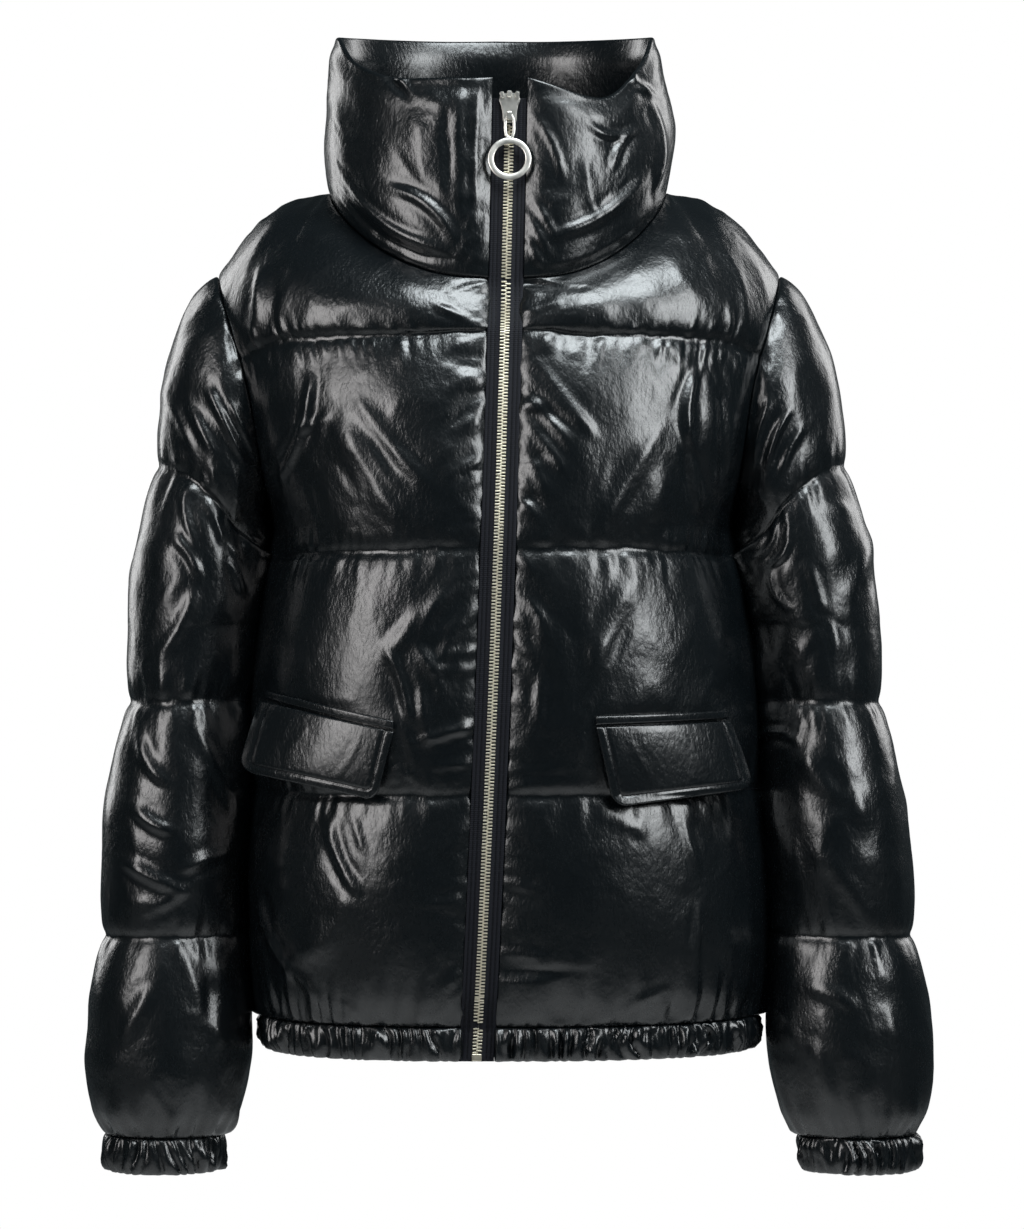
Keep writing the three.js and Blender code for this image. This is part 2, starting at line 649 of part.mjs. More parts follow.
// The sleeve's columns stand where the torso's rows end.
function sleeveTurns() {
  const turns = bodySteps.filter((v) => v >= UNDERARM_V - 1e-9).map(armholeTurn);
  return [...turns, ...turns.slice(1, -1).reverse().map((turn) => ARMHOLE.length - turn)];
}

function sleeveCell(name, side, turn, v) {
  const point = sleeveOutline(turn, sleeveStep(turn, v));
  return wallAt(point, sleeveOut(turn, v), sleeveDepth(name, turn, v), WALL, side);
}

function sleeveGrid(name, side) {
  return bodySteps.map((v) => sleeveTurns().map((turn) => sleeveCell(name, side, turn, v)));
}

function collarColumns() {
  const steps = columnSteps.slice(0, NECK_COLUMNS + 1).map((u) => u / NECK_SHARE);
  const half = (side) => [
    ...steps.map((u) => ({ side, isFront: true, u })),
    ...steps.slice(0, -1).reverse().map((u) => ({ side, isFront: false, u })),
  ];
  return [...half(-1), ...half(1).slice(0, -1).reverse()];
}

function collarGrid() {
  return COLLAR_STEPS.map((t) =>
    collarColumns().map(({ side, isFront, u }) =>
      wallAt(
        collarPoint(side, isFront, u, t),
        collarOut(side, isFront, u, t),
        collarDepth(side, isFront, u, t),
        collarInside(t),
        side,
      ),
    ),
  );
}

// A gathered band sewn to a row of cells, with a fold for each of the row's steps.
function bandGrid(edge, tall, narrowing, closed) {
  const cells = [];
  const count = closed ? edge.length : edge.length - 1;
  for (let i = 0; i < count; i += 1) {
    const next = edge[(i + 1) % edge.length];
    for (const t of [0, 0.5]) cells.push(betweenCells(edge[i], next, t));
  }
  if (!closed) cells.push(betweenCells(edge.at(-1), edge.at(-1), 0));
  const middle = cells.reduce((sum, cell) => sum.add(cell.inner), vec(0, 0, 0)).divideScalar(cells.length);
  return [
    { drop: 0, depth: STITCH_DEPTH, rise: 0 },
    { drop: 0.22, depth: BAND_DEPTH, rise: GATHER_RISE },
    { drop: 0.8, depth: BAND_DEPTH + 0.6, rise: GATHER_RISE },
    { drop: 1, depth: STITCH_DEPTH - 1, rise: GATHER_RISE * 0.6 },
  ].map((row) => cells.map((cell, i) => {
    const out = cell.outer.clone().sub(cell.inner).normalize();
    const isHeld = !closed && (i === 0 || i === cells.length - 1);
    const depth = isHeld ? STITCH_DEPTH : row.depth + (i % 2 ? -row.rise : row.rise);
    const inner = cell.inner.clone();
    inner.x = mix(inner.x, middle.x, narrowing * row.drop);
    inner.y = mix(inner.y, middle.y, narrowing * row.drop);
    inner.z -= tall * row.drop;
    return { outer: inner.clone().addScaledVector(out, WALL - depth), inner };
  }));
}

function betweenCells(a, b, t) {
  return { outer: a.outer.clone().lerp(b.outer, t), inner: a.inner.clone().lerp(b.inner, t) };
}

// Zip tape: a flat strip beside the edges of a front, the hem band and the collar.
function tapeGrid(edgePoints, side) {
  return edgePoints.map((edge) => {
    const middle = edge.x - TAPE_HALF - SEAM_GAP / 2;
    return [middle, edge.x - SEAM_GAP].map((x) =>
      wallAt(vec(x, edge.y, edge.z), vec(0, -1, 0), TAPE_DEPTH, TAPE_DEPTH + TAPE_THICK, side),
    );
  });
}

function zipEdge(side) {
  const panel = { isFront: true, side };
  const body = bodySteps.map((v) => torsoPoint(panel, 0, v));
  const hem = body[0].clone();
  hem.z -= HEM_TALL;
  const collar = COLLAR_STEPS.slice(1).map((t) => collarPoint(side, true, 0, t));
  const below = collar.filter((point) => point.z < ZIP_TOP_Z - 4);
  const top = collar[below.length].clone().lerp(below.at(-1), 0.5).setZ(ZIP_TOP_Z);
  return [hem, ...body, ...below, top];
}

// A patch that lies on a front: corners by distance from the middle and height.
function patchGrid(panel, patch, columns, rows, standOff, thick) {
  const grid = [];
  for (let j = 0; j <= rows; j += 1) {
    const row = [];
    for (let i = 0; i <= columns; i += 1) {
      const [a, b] = [i / columns, j / rows];
      const [x, z] = [0, 1].map((k) => {
        const top = mix(patch.innerTop[k], patch.outerTop[k], a);
        return mix(top, mix(patch.innerLow[k], patch.outerLow[k], a), b);
      });
      const v = bandPlace(z);
      const u = placeAcross(panel, x, v);
      const out = torsoOut(panel, u, v);
      const lift = standOff(a, b) - torsoDepth(panel, u, v);
      row.push(wallAt(torsoPoint(panel, u, v), out, -lift - thick, -lift, panel.side));
    }
    grid.push(row);
  }
  return grid;
}

function bandPlace(z) {
  const band = z < BODY_LINES[1].middle ? 0 : 1;
  return band + (z - BODY_LINES[band].middle) / (BODY_LINES[band + 1].middle - BODY_LINES[band].middle);
}

function placeAcross(panel, x, v) {
  const z = middleZ(v);
  const half = sideEdge(panel, v).point.x;
  const first = sectionAngle(panelStart(panel, z) / half);
  return (sectionAngle(x / half) - first) / (Math.PI / 2 - first);
}

// Metal pieces

function toManifold(geometry) {
  const plain = geometry.clone();
  plain.deleteAttribute('normal');
  plain.deleteAttribute('uv');
  const merged = mergeVertices(plain, 1e-4);
  return new wasm.Manifold(
    new wasm.Mesh({
      numProp: 3,
      vertProperties: new Float32Array(merged.attributes.position.array),
      triVerts: new Uint32Array(merged.index.array),
    }),
  );
}

function fromManifold(solid) {
  const mesh = solid.getMesh();
  const geometry = new THREE.BufferGeometry();
  geometry.setAttribute('position', new THREE.Float32BufferAttribute(mesh.vertProperties, 3));
  geometry.setIndex([...mesh.triVerts]);
  geometry.computeVertexNormals();
  return geometry;
}

function plate(shape, thick, bevel, curveSegments) {
  return new THREE.ExtrudeGeometry(shape, {
    depth: thick - 2 * bevel,
    bevelEnabled: bevel > 0,
    bevelThickness: bevel,
    bevelSize: bevel,
    bevelOffset: -bevel,
    bevelSegments: 1,
    curveSegments,
    steps: 1,
  }).translate(0, 0, bevel - thick / 2);
}

function roundedOutline(path, wide, tall, radius, centreY) {
  const [x, low, high] = [wide / 2, centreY - tall / 2, centreY + tall / 2];
  path.moveTo(-x + radius, low);
  path.lineTo(x - radius, low);
  path.absarc(x - radius, low + radius, radius, -Math.PI / 2, 0, false);
  path.lineTo(x, high - radius);
  path.absarc(x - radius, high - radius, radius, 0, Math.PI / 2, false);
  path.lineTo(-x + radius, high);
  path.absarc(-x + radius, high - radius, radius, Math.PI / 2, Math.PI, false);
  path.lineTo(-x, low + radius);
  path.absarc(-x + radius, low + radius, radius, Math.PI, Math.PI * 1.5, false);
  return path;
}

// The pull in its own plane: its bar is at the origin, its ring hangs down Y.
function pullGeometry() {
  const eyeTall = PULL.ringDrop - PULL.ringInner - 0.6 + PULL.bar / 2;
  const eye = roundedOutline(new THREE.Shape(), PULL.eyeWide, eyeTall, 2.2, PULL.bar / 2 - eyeTall / 2);
  const holeTall = eyeTall - PULL.bar - 4.6;
  eye.holes.push(roundedOutline(new THREE.Path(), PULL.eyeHole, holeTall, 1, -PULL.bar / 2 - holeTall / 2));
  const ring = new THREE.Shape().absarc(0, -PULL.ringDrop, PULL.ringOuter, 0, 2 * Math.PI, false);
  ring.holes.push(new THREE.Path().absarc(0, -PULL.ringDrop, PULL.ringInner, 0, 2 * Math.PI, true));
  const ringPlate = toManifold(plate(ring, PULL.thick, PULL.bevel, 14));
  const eyePlate = toManifold(plate(eye, PULL.thick, PULL.bevel, 3));
  return fromManifold(ringPlate.add(eyePlate)).rotateX(Math.PI / 2);
}

// The slider in its own plane: its face looks along -Y, its bridge carries the pull's bar.
function sliderGeometry() {
  const [top, low] = [SLIDER.topWide / 2, SLIDER.lowWide / 2];
  const shield = new THREE.Shape();
  shield.moveTo(-low + 1.5, -SLIDER.tall / 2);
  shield.lineTo(low - 1.5, -SLIDER.tall / 2);
  shield.quadraticCurveTo(low, -SLIDER.tall / 2, low, -SLIDER.tall / 2 + 2);
  shield.quadraticCurveTo(low, 0, top, SLIDER.tall / 2 - 5);
  shield.quadraticCurveTo(top, SLIDER.tall / 2, 0, SLIDER.tall / 2);
  shield.quadraticCurveTo(-top, SLIDER.tall / 2, -top, SLIDER.tall / 2 - 5);
  shield.quadraticCurveTo(-low, 0, -low, -SLIDER.tall / 2 + 2);
  shield.quadraticCurveTo(-low, -SLIDER.tall / 2, -low + 1.5, -SLIDER.tall / 2);
  const face = plate(shield, SLIDER.thick, 0.6, 3).rotateX(Math.PI / 2);
  const { hole, bar, wide } = BRIDGE;
  const arch = roundedOutline(new THREE.Shape(), hole + 2 * bar, hole + bar + 1, 1.2, (hole + bar - 1) / 2);
  arch.holes.push(new THREE.Path().absarc(0, hole / 2 + 0.02, hole / 2, 0, 2 * Math.PI, true));
  const bridge = plate(arch, wide, 0.3, 4)
    .applyMatrix4(new THREE.Matrix4().makeBasis(vec(0, 0, 1), vec(0, -1, 0), vec(1, 0, 0)))
    .translate(0, -SLIDER.thick / 2, BRIDGE_Z - SLIDER_MIDDLE_Z);
  return fromManifold(toManifold(face).add(toManifold(bridge)));
}

const SLIDER_MIDDLE_Z = SLIDER.topZ - SLIDER.tall / 2;
const BRIDGE_Z = SLIDER_MIDDLE_Z - SLIDER.tall / 2 + BRIDGE.hole / 2 + BRIDGE.bar + 1;

// Materials

const cloth = new THREE.MeshStandardMaterial({ color: 0x14161a, roughness: 0.28, metalness: 0 });
const band = new THREE.MeshStandardMaterial({ color: 0x15171b, roughness: 0.32, metalness: 0 });
const tape = new THREE.MeshStandardMaterial({ color: 0x16181f, roughness: 0.8, metalness: 0 });
const metal = new THREE.MeshStandardMaterial({ color: 0xb9b7b2, roughness: 0.25, metalness: 1 });

const jacket = new THREE.Group();

function addPiece(name, geometry, material, parent = jacket) {
  const mesh = new THREE.Mesh(geometry, material);
  mesh.name = name;
  parent.add(mesh);
  return mesh;
}

const grids = {
  front_right: frontGrid(PANELS.front_right),
  front_left: frontGrid(PANELS.front_left),
  back: backGrid(),
  collar: collarGrid(),
};
const hemEdge = [
  ...grids.front_left[0],
  ...[...grids.back[0]].reverse().slice(1),
  ...[...grids.front_right[0]].reverse().slice(1),
];
const hemGrid = bandGrid(hemEdge, HEM_TALL, 0.012, false);
trimGrid(hemGrid, { high: false, start: false, end: false });

for (const [name, side] of [['right', -1], ['left', 1]]) {
  const sleeve = sleeveGrid(`sleeve_${name}`, side);
  const cuff = bandGrid(sleeve.at(-1), CUFF_TALL, 0.03, true);
  trimGrid(cuff, { high: false, start: false, end: false });
  trimGrid(sleeve, { low: false, start: false, end: false });
  partArmhole(sleeve[0], side, 1);
  addPiece(`sleeve_${name}`, wallGeometry(sleeve, true), cloth);
  addPiece(`cuff_${name}`, wallGeometry(cuff, true), band);

  const panel = PANELS[`front_${name}`];
  const patch = FLAPS.find((flap) => flap.side === name);
  const standOff = (a, b) => FLAP_STAND.seam + FLAP_STAND.low * b + patch.flare * a * a * (0.3 + 0.7 * b);
  addPiece(`pocket_flap_${name}`, wallGeometry(patchGrid(panel, patch, 9, 4, standOff, FLAP_THICK)), cloth);
  const raised = ([x, z], by) => [x, z + by];
  const strip = {
    innerTop: raised(patch.innerTop, WELT.aboveFlap + WELT.tall),
    innerLow: raised(patch.innerTop, WELT.aboveFlap),
    outerTop: raised(patch.outerTop, WELT.aboveFlap + WELT.tall),
    outerLow: raised(patch.outerTop, WELT.aboveFlap),
  };
  const welt = patchGrid(panel, strip, 9, 1, () => WELT.lift, WELT.thick);
  addPiece(`pocket_welt_${name}`, wallGeometry(welt), cloth);
  addPiece(`zip_tape_${name}`, wallGeometry(tapeGrid(zipEdge(side), side)), tape);
}

const isAtArmhole = (_, j) => bodySteps[j] > UNDERARM_V - 1e-9;
const armholeEdges = [
  { name: 'front_right', side: -1, column: -1 },
  { name: 'front_left', side: 1, column: -1 },
  { name: 'back', side: -1, column: 0 },
  { name: 'back', side: 1, column: -1 },
];
for (const { name, side, column } of armholeEdges) {
  partArmhole(grids[name].map((row) => row.at(column)).filter(isAtArmhole), side, -1);
}
trimGrid(grids.front_right, { start: false });
trimGrid(grids.front_left, { start: false });
trimGrid(grids.back, {});
trimGrid(grids.collar, { high: false, start: false, end: false });
for (const name of ['front_right', 'front_left', 'back', 'collar']) {
  addPiece(name, wallGeometry(grids[name]), cloth);
}
addPiece('hem_band', wallGeometry(hemGrid), band);

// The slider lies along the tape, and the pull hangs from its bridge.
function tapeFaceY(z) {
  const edge = zipEdge(1);
  const i = edge.findIndex((point, k) => edge[k + 1].z > z);
  return mix(edge[i].y, edge[i + 1].y, (z - edge[i].z) / (edge[i + 1].z - edge[i].z)) + TAPE_DEPTH;
}
const sliderSlope = (tapeFaceY(SLIDER.topZ) - tapeFaceY(SLIDER.topZ - SLIDER.tall)) / SLIDER.tall;
const sliderSeat = new THREE.Group();
sliderSeat.position.set(
  zipMiddle(SLIDER_MIDDLE_Z) - LEAN * SLIDER_MIDDLE_Z,
  tapeFaceY(SLIDER_MIDDLE_Z) - SLIDER.proud - SLIDER.thick / 2,
  SLIDER_MIDDLE_Z,
);
sliderSeat.rotation.x = -Math.atan(sliderSlope);
jacket.add(sliderSeat);
addPiece('zip_slider', sliderGeometry(), metal, sliderSeat);
const pull = addPiece('zip_pull', pullGeometry(), metal, sliderSeat);
pull.position.set(0, -SLIDER.thick / 2 - BRIDGE.hole / 2, BRIDGE_Z - SLIDER_MIDDLE_Z);
pull.rotation.x = radians(-PULL.tilt);

export default jacket;
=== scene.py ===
import math
import time
from bisect import bisect_right

import bmesh
import bpy
from mathutils import Matrix, Vector, noise


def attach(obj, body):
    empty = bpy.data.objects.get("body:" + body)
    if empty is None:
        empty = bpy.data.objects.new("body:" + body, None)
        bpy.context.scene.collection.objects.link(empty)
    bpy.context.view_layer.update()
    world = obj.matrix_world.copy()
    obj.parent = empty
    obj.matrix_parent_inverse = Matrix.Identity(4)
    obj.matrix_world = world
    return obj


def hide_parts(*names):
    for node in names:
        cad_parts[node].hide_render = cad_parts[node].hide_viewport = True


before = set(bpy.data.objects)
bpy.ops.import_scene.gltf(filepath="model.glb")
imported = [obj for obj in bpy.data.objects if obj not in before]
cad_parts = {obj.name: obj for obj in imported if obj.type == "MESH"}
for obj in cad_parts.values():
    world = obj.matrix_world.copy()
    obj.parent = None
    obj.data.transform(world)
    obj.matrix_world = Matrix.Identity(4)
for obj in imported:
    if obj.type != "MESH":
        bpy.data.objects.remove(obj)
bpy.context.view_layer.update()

startTime = time.time()


def report(stage):
    print(f"{stage}: {time.time() - startTime:.1f} s")


# A cropped puffer jacket. The surfaces are worked out in millimetres and put into meshes in metres.
# The origin is midway between the ends of the shoulder seams at the neck; the front faces -Y.
mm = 0.001
bodyMiddle = Vector((0, 0, -300))
gatherShare = 1.35  # length of a gathered strip for its seam's length

garment = dict(
    wall=13.0, stitchDepth=8.5, bulgePower=2.4, sectionPower=2.35, lean=0.014,
    tapeHalf=11.5, edgeGap=0.3, neckHalf=121.0, neckFront=(-112.0, -71.0), neckBack=(105.0, 18.0),
    shoulderTip=(195.0, 3.0, -54.0), neckShare=0.68, shoulderRise=11.0,
    collarHalf=114.0, collarFront=100.0, collarBack=95.0, hemTall=22.0, cuffTall=24.0,
    sidePull=0.12, pressed=0.9, groove=2.2, grooveWide=3.0, foldShare=1.5, collarFolds=1.5,
)

bodyRings = [
    dict(z=-562, half=175.5, front=130, back=125),
    dict(z=-540, half=176.5, front=138, back=131),
    dict(z=-480, half=176, front=143, back=133),
    dict(z=-410, half=174, front=146, back=135),
    dict(z=-340, half=170.3, front=147, back=137),
    dict(z=-250, half=160, front=147, back=139),
    dict(z=-160, half=155, front=137, back=141),
    dict(z=-106, half=155, front=126, back=138),
]
sleeveRings = [
    dict(z=-300, centre=211.2, half=46.5, deep=63, forward=-3),
    dict(z=-345, centre=216, half=46.7, deep=62, forward=-8),
    dict(z=-440, centre=224.2, half=49.6, deep=60, forward=-14),
    dict(z=-520, centre=229.4, half=53.4, deep=58, forward=-18),
    dict(z=-588, centre=231.8, half=55.8, deep=57, forward=-21),
    dict(z=-625, centre=234, half=53, deep=54, forward=-22),
    dict(z=-642, centre=234.5, half=47.5, deep=48, forward=-22),
]
armhole = [
    (195, 3, -54), (191, -32, -70), (181, -56, -103), (170, -66, -143), (163, -61, -186), (158, -38, -219),
    (156, 0, -235), (158, 38, -218), (165, 59, -184), (174, 66, -142), (184, 56, -102), (192, 34, -70),
]
collarEdge = [
    dict(angle=0, right=60, left=60),
    dict(angle=32, right=61, left=48),
    dict(angle=60, right=75, left=72),
    dict(angle=82, right=96, left=96),
    dict(angle=105, right=101, left=101),
    dict(angle=140, right=105, left=105),
    dict(angle=180, right=107, left=107),
]
bodyLines = [(-562, -562), (-410, -410), (-250, -252), (-106, -123)]  # height at the middle and at the side
underarmStep = 0.12
topLineTurn = 2.35
sleeveLines = dict(outer=-190, inner=-252, second=-350, third=-507)
armholeAcross, armholeMiddle = Vector((0.97, 0, -0.24)), Vector((170, 0, -145))
viewpoint = dict(x=9.8, z=-292.0, away=3000.0)  # the camera, in front of the garment


# Small sums

def mix(a, b, t):
    return a + (b - a) * t


def clamp(t, low=0.0, high=1.0):
    return max(low, min(high, t))


def ease(t):
    t = clamp(t)
    return t * t * (3 - 2 * t)


# an outward direction turned part of the way to another
def turned(out, way, share):
    return out.lerp(way, share).normalized()


def signedPower(s, p):
    return math.copysign(abs(s) ** p, s)


def hermite(start, leave, end, arrive, t):
    t2, t3 = t * t, t * t * t
    return start * (2 * t3 - 3 * t2 + 1) + leave * (t3 - 2 * t2 + t) + end * (3 * t2 - 2 * t3) + arrive * (t3 - t2)


# one named column of a table as a smooth function that never overshoots its rows
def column(table, key, name):
    rows = sorted(table, key=lambda row: row[key])
    xs, ys = [row[key] for row in rows], [row[name] for row in rows]
    slopes = [(y1 - y0) / (x1 - x0) for x0, x1, y0, y1 in zip(xs, xs[1:], ys, ys[1:])]
    inner = [0 if a * b <= 0 else 2 * a * b / (a + b) for a, b in zip(slopes, slopes[1:])]
    tangents = [slopes[0], *inner, slopes[-1]]

    def value(at):
        if at <= xs[0]:
            return ys[0]
        if at >= xs[-1]:
            return ys[-1]
        k = bisect_right(xs, at) - 1
        span = xs[k + 1] - xs[k]
        return hermite(ys[k], tangents[k] * span, ys[k + 1], tangents[k + 1] * span, (at - xs[k]) / span)

    return value


bodyHalf, bodyFront, bodyBack = (column(bodyRings, "z", name) for name in ("half", "front", "back"))
sleeveCentre, sleeveHalf, sleeveDeep, sleeveForward = (
    column(sleeveRings, "z", name) for name in ("centre", "half", "deep", "forward"))
collarHeight = {1: column(collarEdge, "angle", "left"), -1: column(collarEdge, "angle", "right")}


# The garment's outline: the surface that its bulges reach, for the half with x above 0

def armholePoint(turn):
    i = math.floor(turn)
    t, n = turn - i, len(armhole)
    before, here, after, beyond = (Vector(armhole[(i + k) % n]) for k in (-1, 0, 1, 2))
    return hermite(here, (after - before) / 2, after, (beyond - here) / 2, t)


def armholeOut(turn):
    out = armholePoint(turn) - armholeMiddle
    out = (out - armholeAcross * out.dot(armholeAcross)).normalized()
    return (out + armholeAcross * 0.22).normalized()


# the zip runs a little off the garment's middle and bows
def zipMiddle(z):
    return 7.44 + 0.034 * z - 2.68e-5 * z * z


def panelStart(panel, z):
    if not panel["isFront"]:
        return 0.0
    return panel["side"] * zipMiddle(z) + garment["tapeHalf"] + garment["edgeGap"]


def middleZ(v):
    band = min(2, math.floor(v))
    return mix(bodyLines[band][0], bodyLines[band + 1][0], v - band)


def sideTurn(panel, v):
    underarm = 2 + underarmStep
    first = mix(6, topLineTurn, (v - underarm) / (3 - underarm)) if v <= 3 else mix(topLineTurn, 0, v - 3)
    return first if panel["isFront"] else 12 - first


def sideEdge(panel, v):
    if v < 2 + underarmStep - 1e-6:
        band = min(2, math.floor(v))
        high = bodyLines[band + 1][1] if v < 2 else armhole[6][2]
        t = v - band if v < 2 else (v - 2) / underarmStep
        z = mix(bodyLines[band][1], high, t)
        bend = clamp((z + 285) / 50) ** 3 * math.pi / 2
        x = mix(bodyHalf(z), armhole[6][0], clamp((v - 2) / underarmStep))
        return Vector((x, 0, z)), Vector((math.cos(bend), 0, -math.sin(bend)))
    turn = sideTurn(panel, v)
    return armholePoint(turn), armholeOut(turn)


def sectionAngle(share):
    return math.asin(clamp(signedPower(share, garment["sectionPower"] / 2), -1, 1))


def torsoRow(panel, us, v):
    power = garment["sectionPower"]
    z, end = middleZ(v), sideEdge(panel, v)[0]
    deep = (bodyFront if panel["isFront"] else bodyBack)(z)
    lastAngle = math.acos(clamp(abs(end.y) / deep) ** (power / 2))
    half = end.x / math.sin(lastAngle) ** (2 / power)
    firstAngle = sectionAngle(panelStart(panel, z) / half)
    ahead = -1 if panel["isFront"] else 1
    return [Vector((
        half * signedPower(math.sin(mix(firstAngle, lastAngle, u)), 2 / power),
        ahead * deep * max(0.0, math.cos(lastAngle * u)) ** (2 / power),
        mix(z, end.z, u * u))) for u in us]


def topPoint(panel, u):
    y, z = garment["neckFront"] if panel["isFront"] else garment["neckBack"]
    share = garment["neckShare"]
    if u <= share:
        first = math.asin(panelStart(panel, z) / garment["neckHalf"])
        drop = max(0.0, math.cos(u / share * math.pi / 2))
        return Vector((garment["neckHalf"] * math.sin(mix(first, math.pi / 2, u / share)), y * drop, z * drop ** 1.4))
    t = (u - share) / (1 - share)
    tip = garment["shoulderTip"]
    rise = garment["shoulderRise"] * math.sin(math.pi * t)
    return Vector((mix(garment["neckHalf"], tip[0], t), tip[1] * t, tip[2] * t + rise))


def zipHold(u):
    return ease(1 - u / 0.16)


def topOut(panel, u):
    share = garment["neckShare"]
    if u > share:
        return turned(Vector((0.8, 0, 0.6)), armholeOut(0), (u - share) / (1 - share))
    angle = u / share * math.pi / 2
    ahead = -1 if panel["isFront"] else 1
    out = Vector((math.sin(angle), ahead * math.cos(angle), 0.1 + 0.65 * math.sin(angle) ** 2)).normalized()
    return turned(out, Vector((0, -1, 0)), zipHold(u)) if panel["isFront"] else out


def topArrival(panel, u):
    share = min(1.0, u / garment["neckShare"])
    over = max(0.0, (u - garment["neckShare"]) / (1 - garment["neckShare"]))
    across = mix(0.1 if panel["isFront"] else 0.55, 1, share)
    ahead = 1 if panel["isFront"] else -1
    return Vector((0, ahead * across, mix(mix(1, 0.45, share), 0.1, over))).normalized()


def torsoPoints(panel, us, vs):
    lows, befores = torsoRow(panel, us, 3), torsoRow(panel, us, 2.9)
    highs = [topPoint(panel, u) for u in us]
    arrivals = [topArrival(panel, u) for u in us]
    edgeLow, edgeBefore = (torsoRow(panel, [1.0], v)[0] for v in (3, 2.9))
    edge = (edgeLow, edgeBefore, topPoint(panel, 1.0), topArrival(panel, 1.0))

    def yoke(low, before, high, arrival, t):
        size = (high - low).length
        return hermite(low, (low - before).normalized() * size, high, arrival * size * 0.9, t)

    rows = []
    for v in vs:
        if v <= 3:
            rows.append(torsoRow(panel, us, v))
            continue
        shift = sideEdge(panel, v)[0] - yoke(*edge, v - 3)
        parts = zip(us, lows, befores, highs, arrivals)
        rows.append([yoke(low, before, high, arrival, v - 3) + shift * u ** 4
                     for u, low, before, high, arrival in parts])
    return rows


def sleeveRingPoint(turn, z):
    angle = turn / 12 * 2 * math.pi
    return Vector((
        sleeveCentre(z) + sleeveHalf(z) * math.cos(angle), sleeveForward(z) - sleeveDeep(z) * math.sin(angle), z))


def sleeveOutline(turn, s):
    capZ, endZ = sleeveRings[0]["z"], sleeveRings[-1]["z"]
    if s >= 1:
        return sleeveRingPoint(turn, mix(capZ, endZ, s - 1))
    start, end = armholePoint(turn), sleeveRingPoint(turn, capZ)
    size = (end - start).length
    spread = 0.65 * (1 + math.cos(turn / 6 * math.pi))
    leave = Vector((0.24 + 0.97 * spread, 0, -0.97 - 0.24 * spread)).normalized() * size * 0.6
    return hermite(start, leave, end, Vector((0.12, 0, -0.99)) * size * 0.8, s)


def sleeveReach(turn, z):
    low, high = 0.0, 2.0
    for _ in range(24):
        half = (low + high) / 2
        low, high = (half, high) if sleeveOutline(turn, half).z > z else (low, half)
    return low


def sleeveStops(turn):
    inner = (1 - math.cos(turn / 6 * math.pi)) / 2
    first = sleeveReach(turn, mix(sleeveLines["outer"], sleeveLines["inner"], inner ** 1.5))
    return [0.0, first, sleeveReach(turn, sleeveLines["second"]), sleeveReach(turn, sleeveLines["third"]), 2.0]


def collarEnds(panel, u):
    side, isFront = panel["side"], panel["isFront"]
    turn = u * math.pi / 2
    first = math.asin(panelStart(panel, 60) / garment["collarHalf"]) if isFront else 0.0
    y = -garment["collarFront"] * math.cos(turn) if isFront else garment["collarBack"] * math.cos(turn)
    wayRound = turn if isFront else math.pi - turn
    x = garment["collarHalf"] * math.sin(mix(first, math.pi / 2, u))
    return topPoint(panel, u * garment["neckShare"]), Vector((x, y, collarHeight[side](math.degrees(wayRound))))


def collarPoint(panel, u, t):
    low, high = collarEnds(panel, u)
    up = Vector((0, 0, (high - low).length))
    point = hermite(low, up, high, up, t)
    if panel["isFront"]:
        startLow, startHigh = collarEnds(panel, 0.0)
        point.x += (1 - u) ** 4 * (panelStart(panel, point.z) - mix(startLow.x, startHigh.x, ease(t)))
    return point


# Panels and their surfaces in true left and right

frontRight = dict(name="front_right", isFront=True, side=-1)
frontLeft = dict(name="front_left", isFront=True, side=1)
backRight = dict(name="back", isFront=False, side=-1)
backLeft = dict(name="back", isFront=False, side=1)


def mirrored(point, side):
    return Vector((point.x * side, point.y, point.z))


# a point in the garment's frame, in metres
def place(point):
    return Vector((point.x - garment["lean"] * point.z, point.y, point.z)) * mm


# the outward direction at each point of a grid, away from a point inside it
def gridOut(points, inside, closed=False):
    rows, columns = len(points), len(points[0])
    outs = []
    for j in range(rows):
        below, above = points[max(0, j - 1)], points[min(rows - 1, j + 1)]
        row = []
        for i in range(columns):
            left = points[j][i - 1] if i else points[j][-2 if closed else 0]
            right = points[j][i + 1] if i < columns - 1 else points[j][1 if closed else -1]
            row.append((right - left).cross(above[i] - below[i]).normalized())
        outs.append(row)
    j, i = rows // 2, columns // 3
    if outs[j][i].dot(points[j][i] - inside) < 0:
        outs = [[-out for out in row] for row in outs]
    return outs


def bandPull(t):
    return abs(2 * t - 1) ** garment["bulgePower"]


def edgePull(distance, reach, share=1.0):
    return share * clamp(1 - distance / reach) ** 2


# where a point stands in the camera's view, measured in the plane through the origin
def seen(point):
    x = point.x - garment["lean"] * point.z
    across, up, away = viewpoint["x"], viewpoint["z"], viewpoint["away"]
    grow = away / (away + point.y)
    return across + (x - across) * grow, up + (point.z - up) * grow


# folds as (from x, from z, to x, to z, bow, half width, rise), made ready to measure against
def strokes(table):
    ready = []
    for x0, z0, x1, z1, bow, wide, rise in table:
        size = math.hypot(x1 - x0, z1 - z0)
        ready.append((x0, z0, (x1 - x0) / size, (z1 - z0) / size, size, bow, wide, rise))
    return ready


# height of the listed folds at one place; each has a soft trough along both sides
def foldRise(ready, x, z):
    total = 0.0
    for x0, z0, dx, dz, size, bow, wide, rise in ready:
        along = ((x - x0) * dx + (z - z0) * dz) / size
        if along < -0.12 or along > 1.12:
            continue
        across = (-(x - x0) * dz + (z - z0) * dx - bow * 4 * along * (1 - along)) / wide
        if abs(across) > 3.2:
            continue
        taper = ease((along + 0.12) / 0.4) * ease((1.12 - along) / 0.4)
        total += rise * taper * (math.exp(-across * across * 2) - 0.5 * math.exp(-across * across * 0.5))
    return total


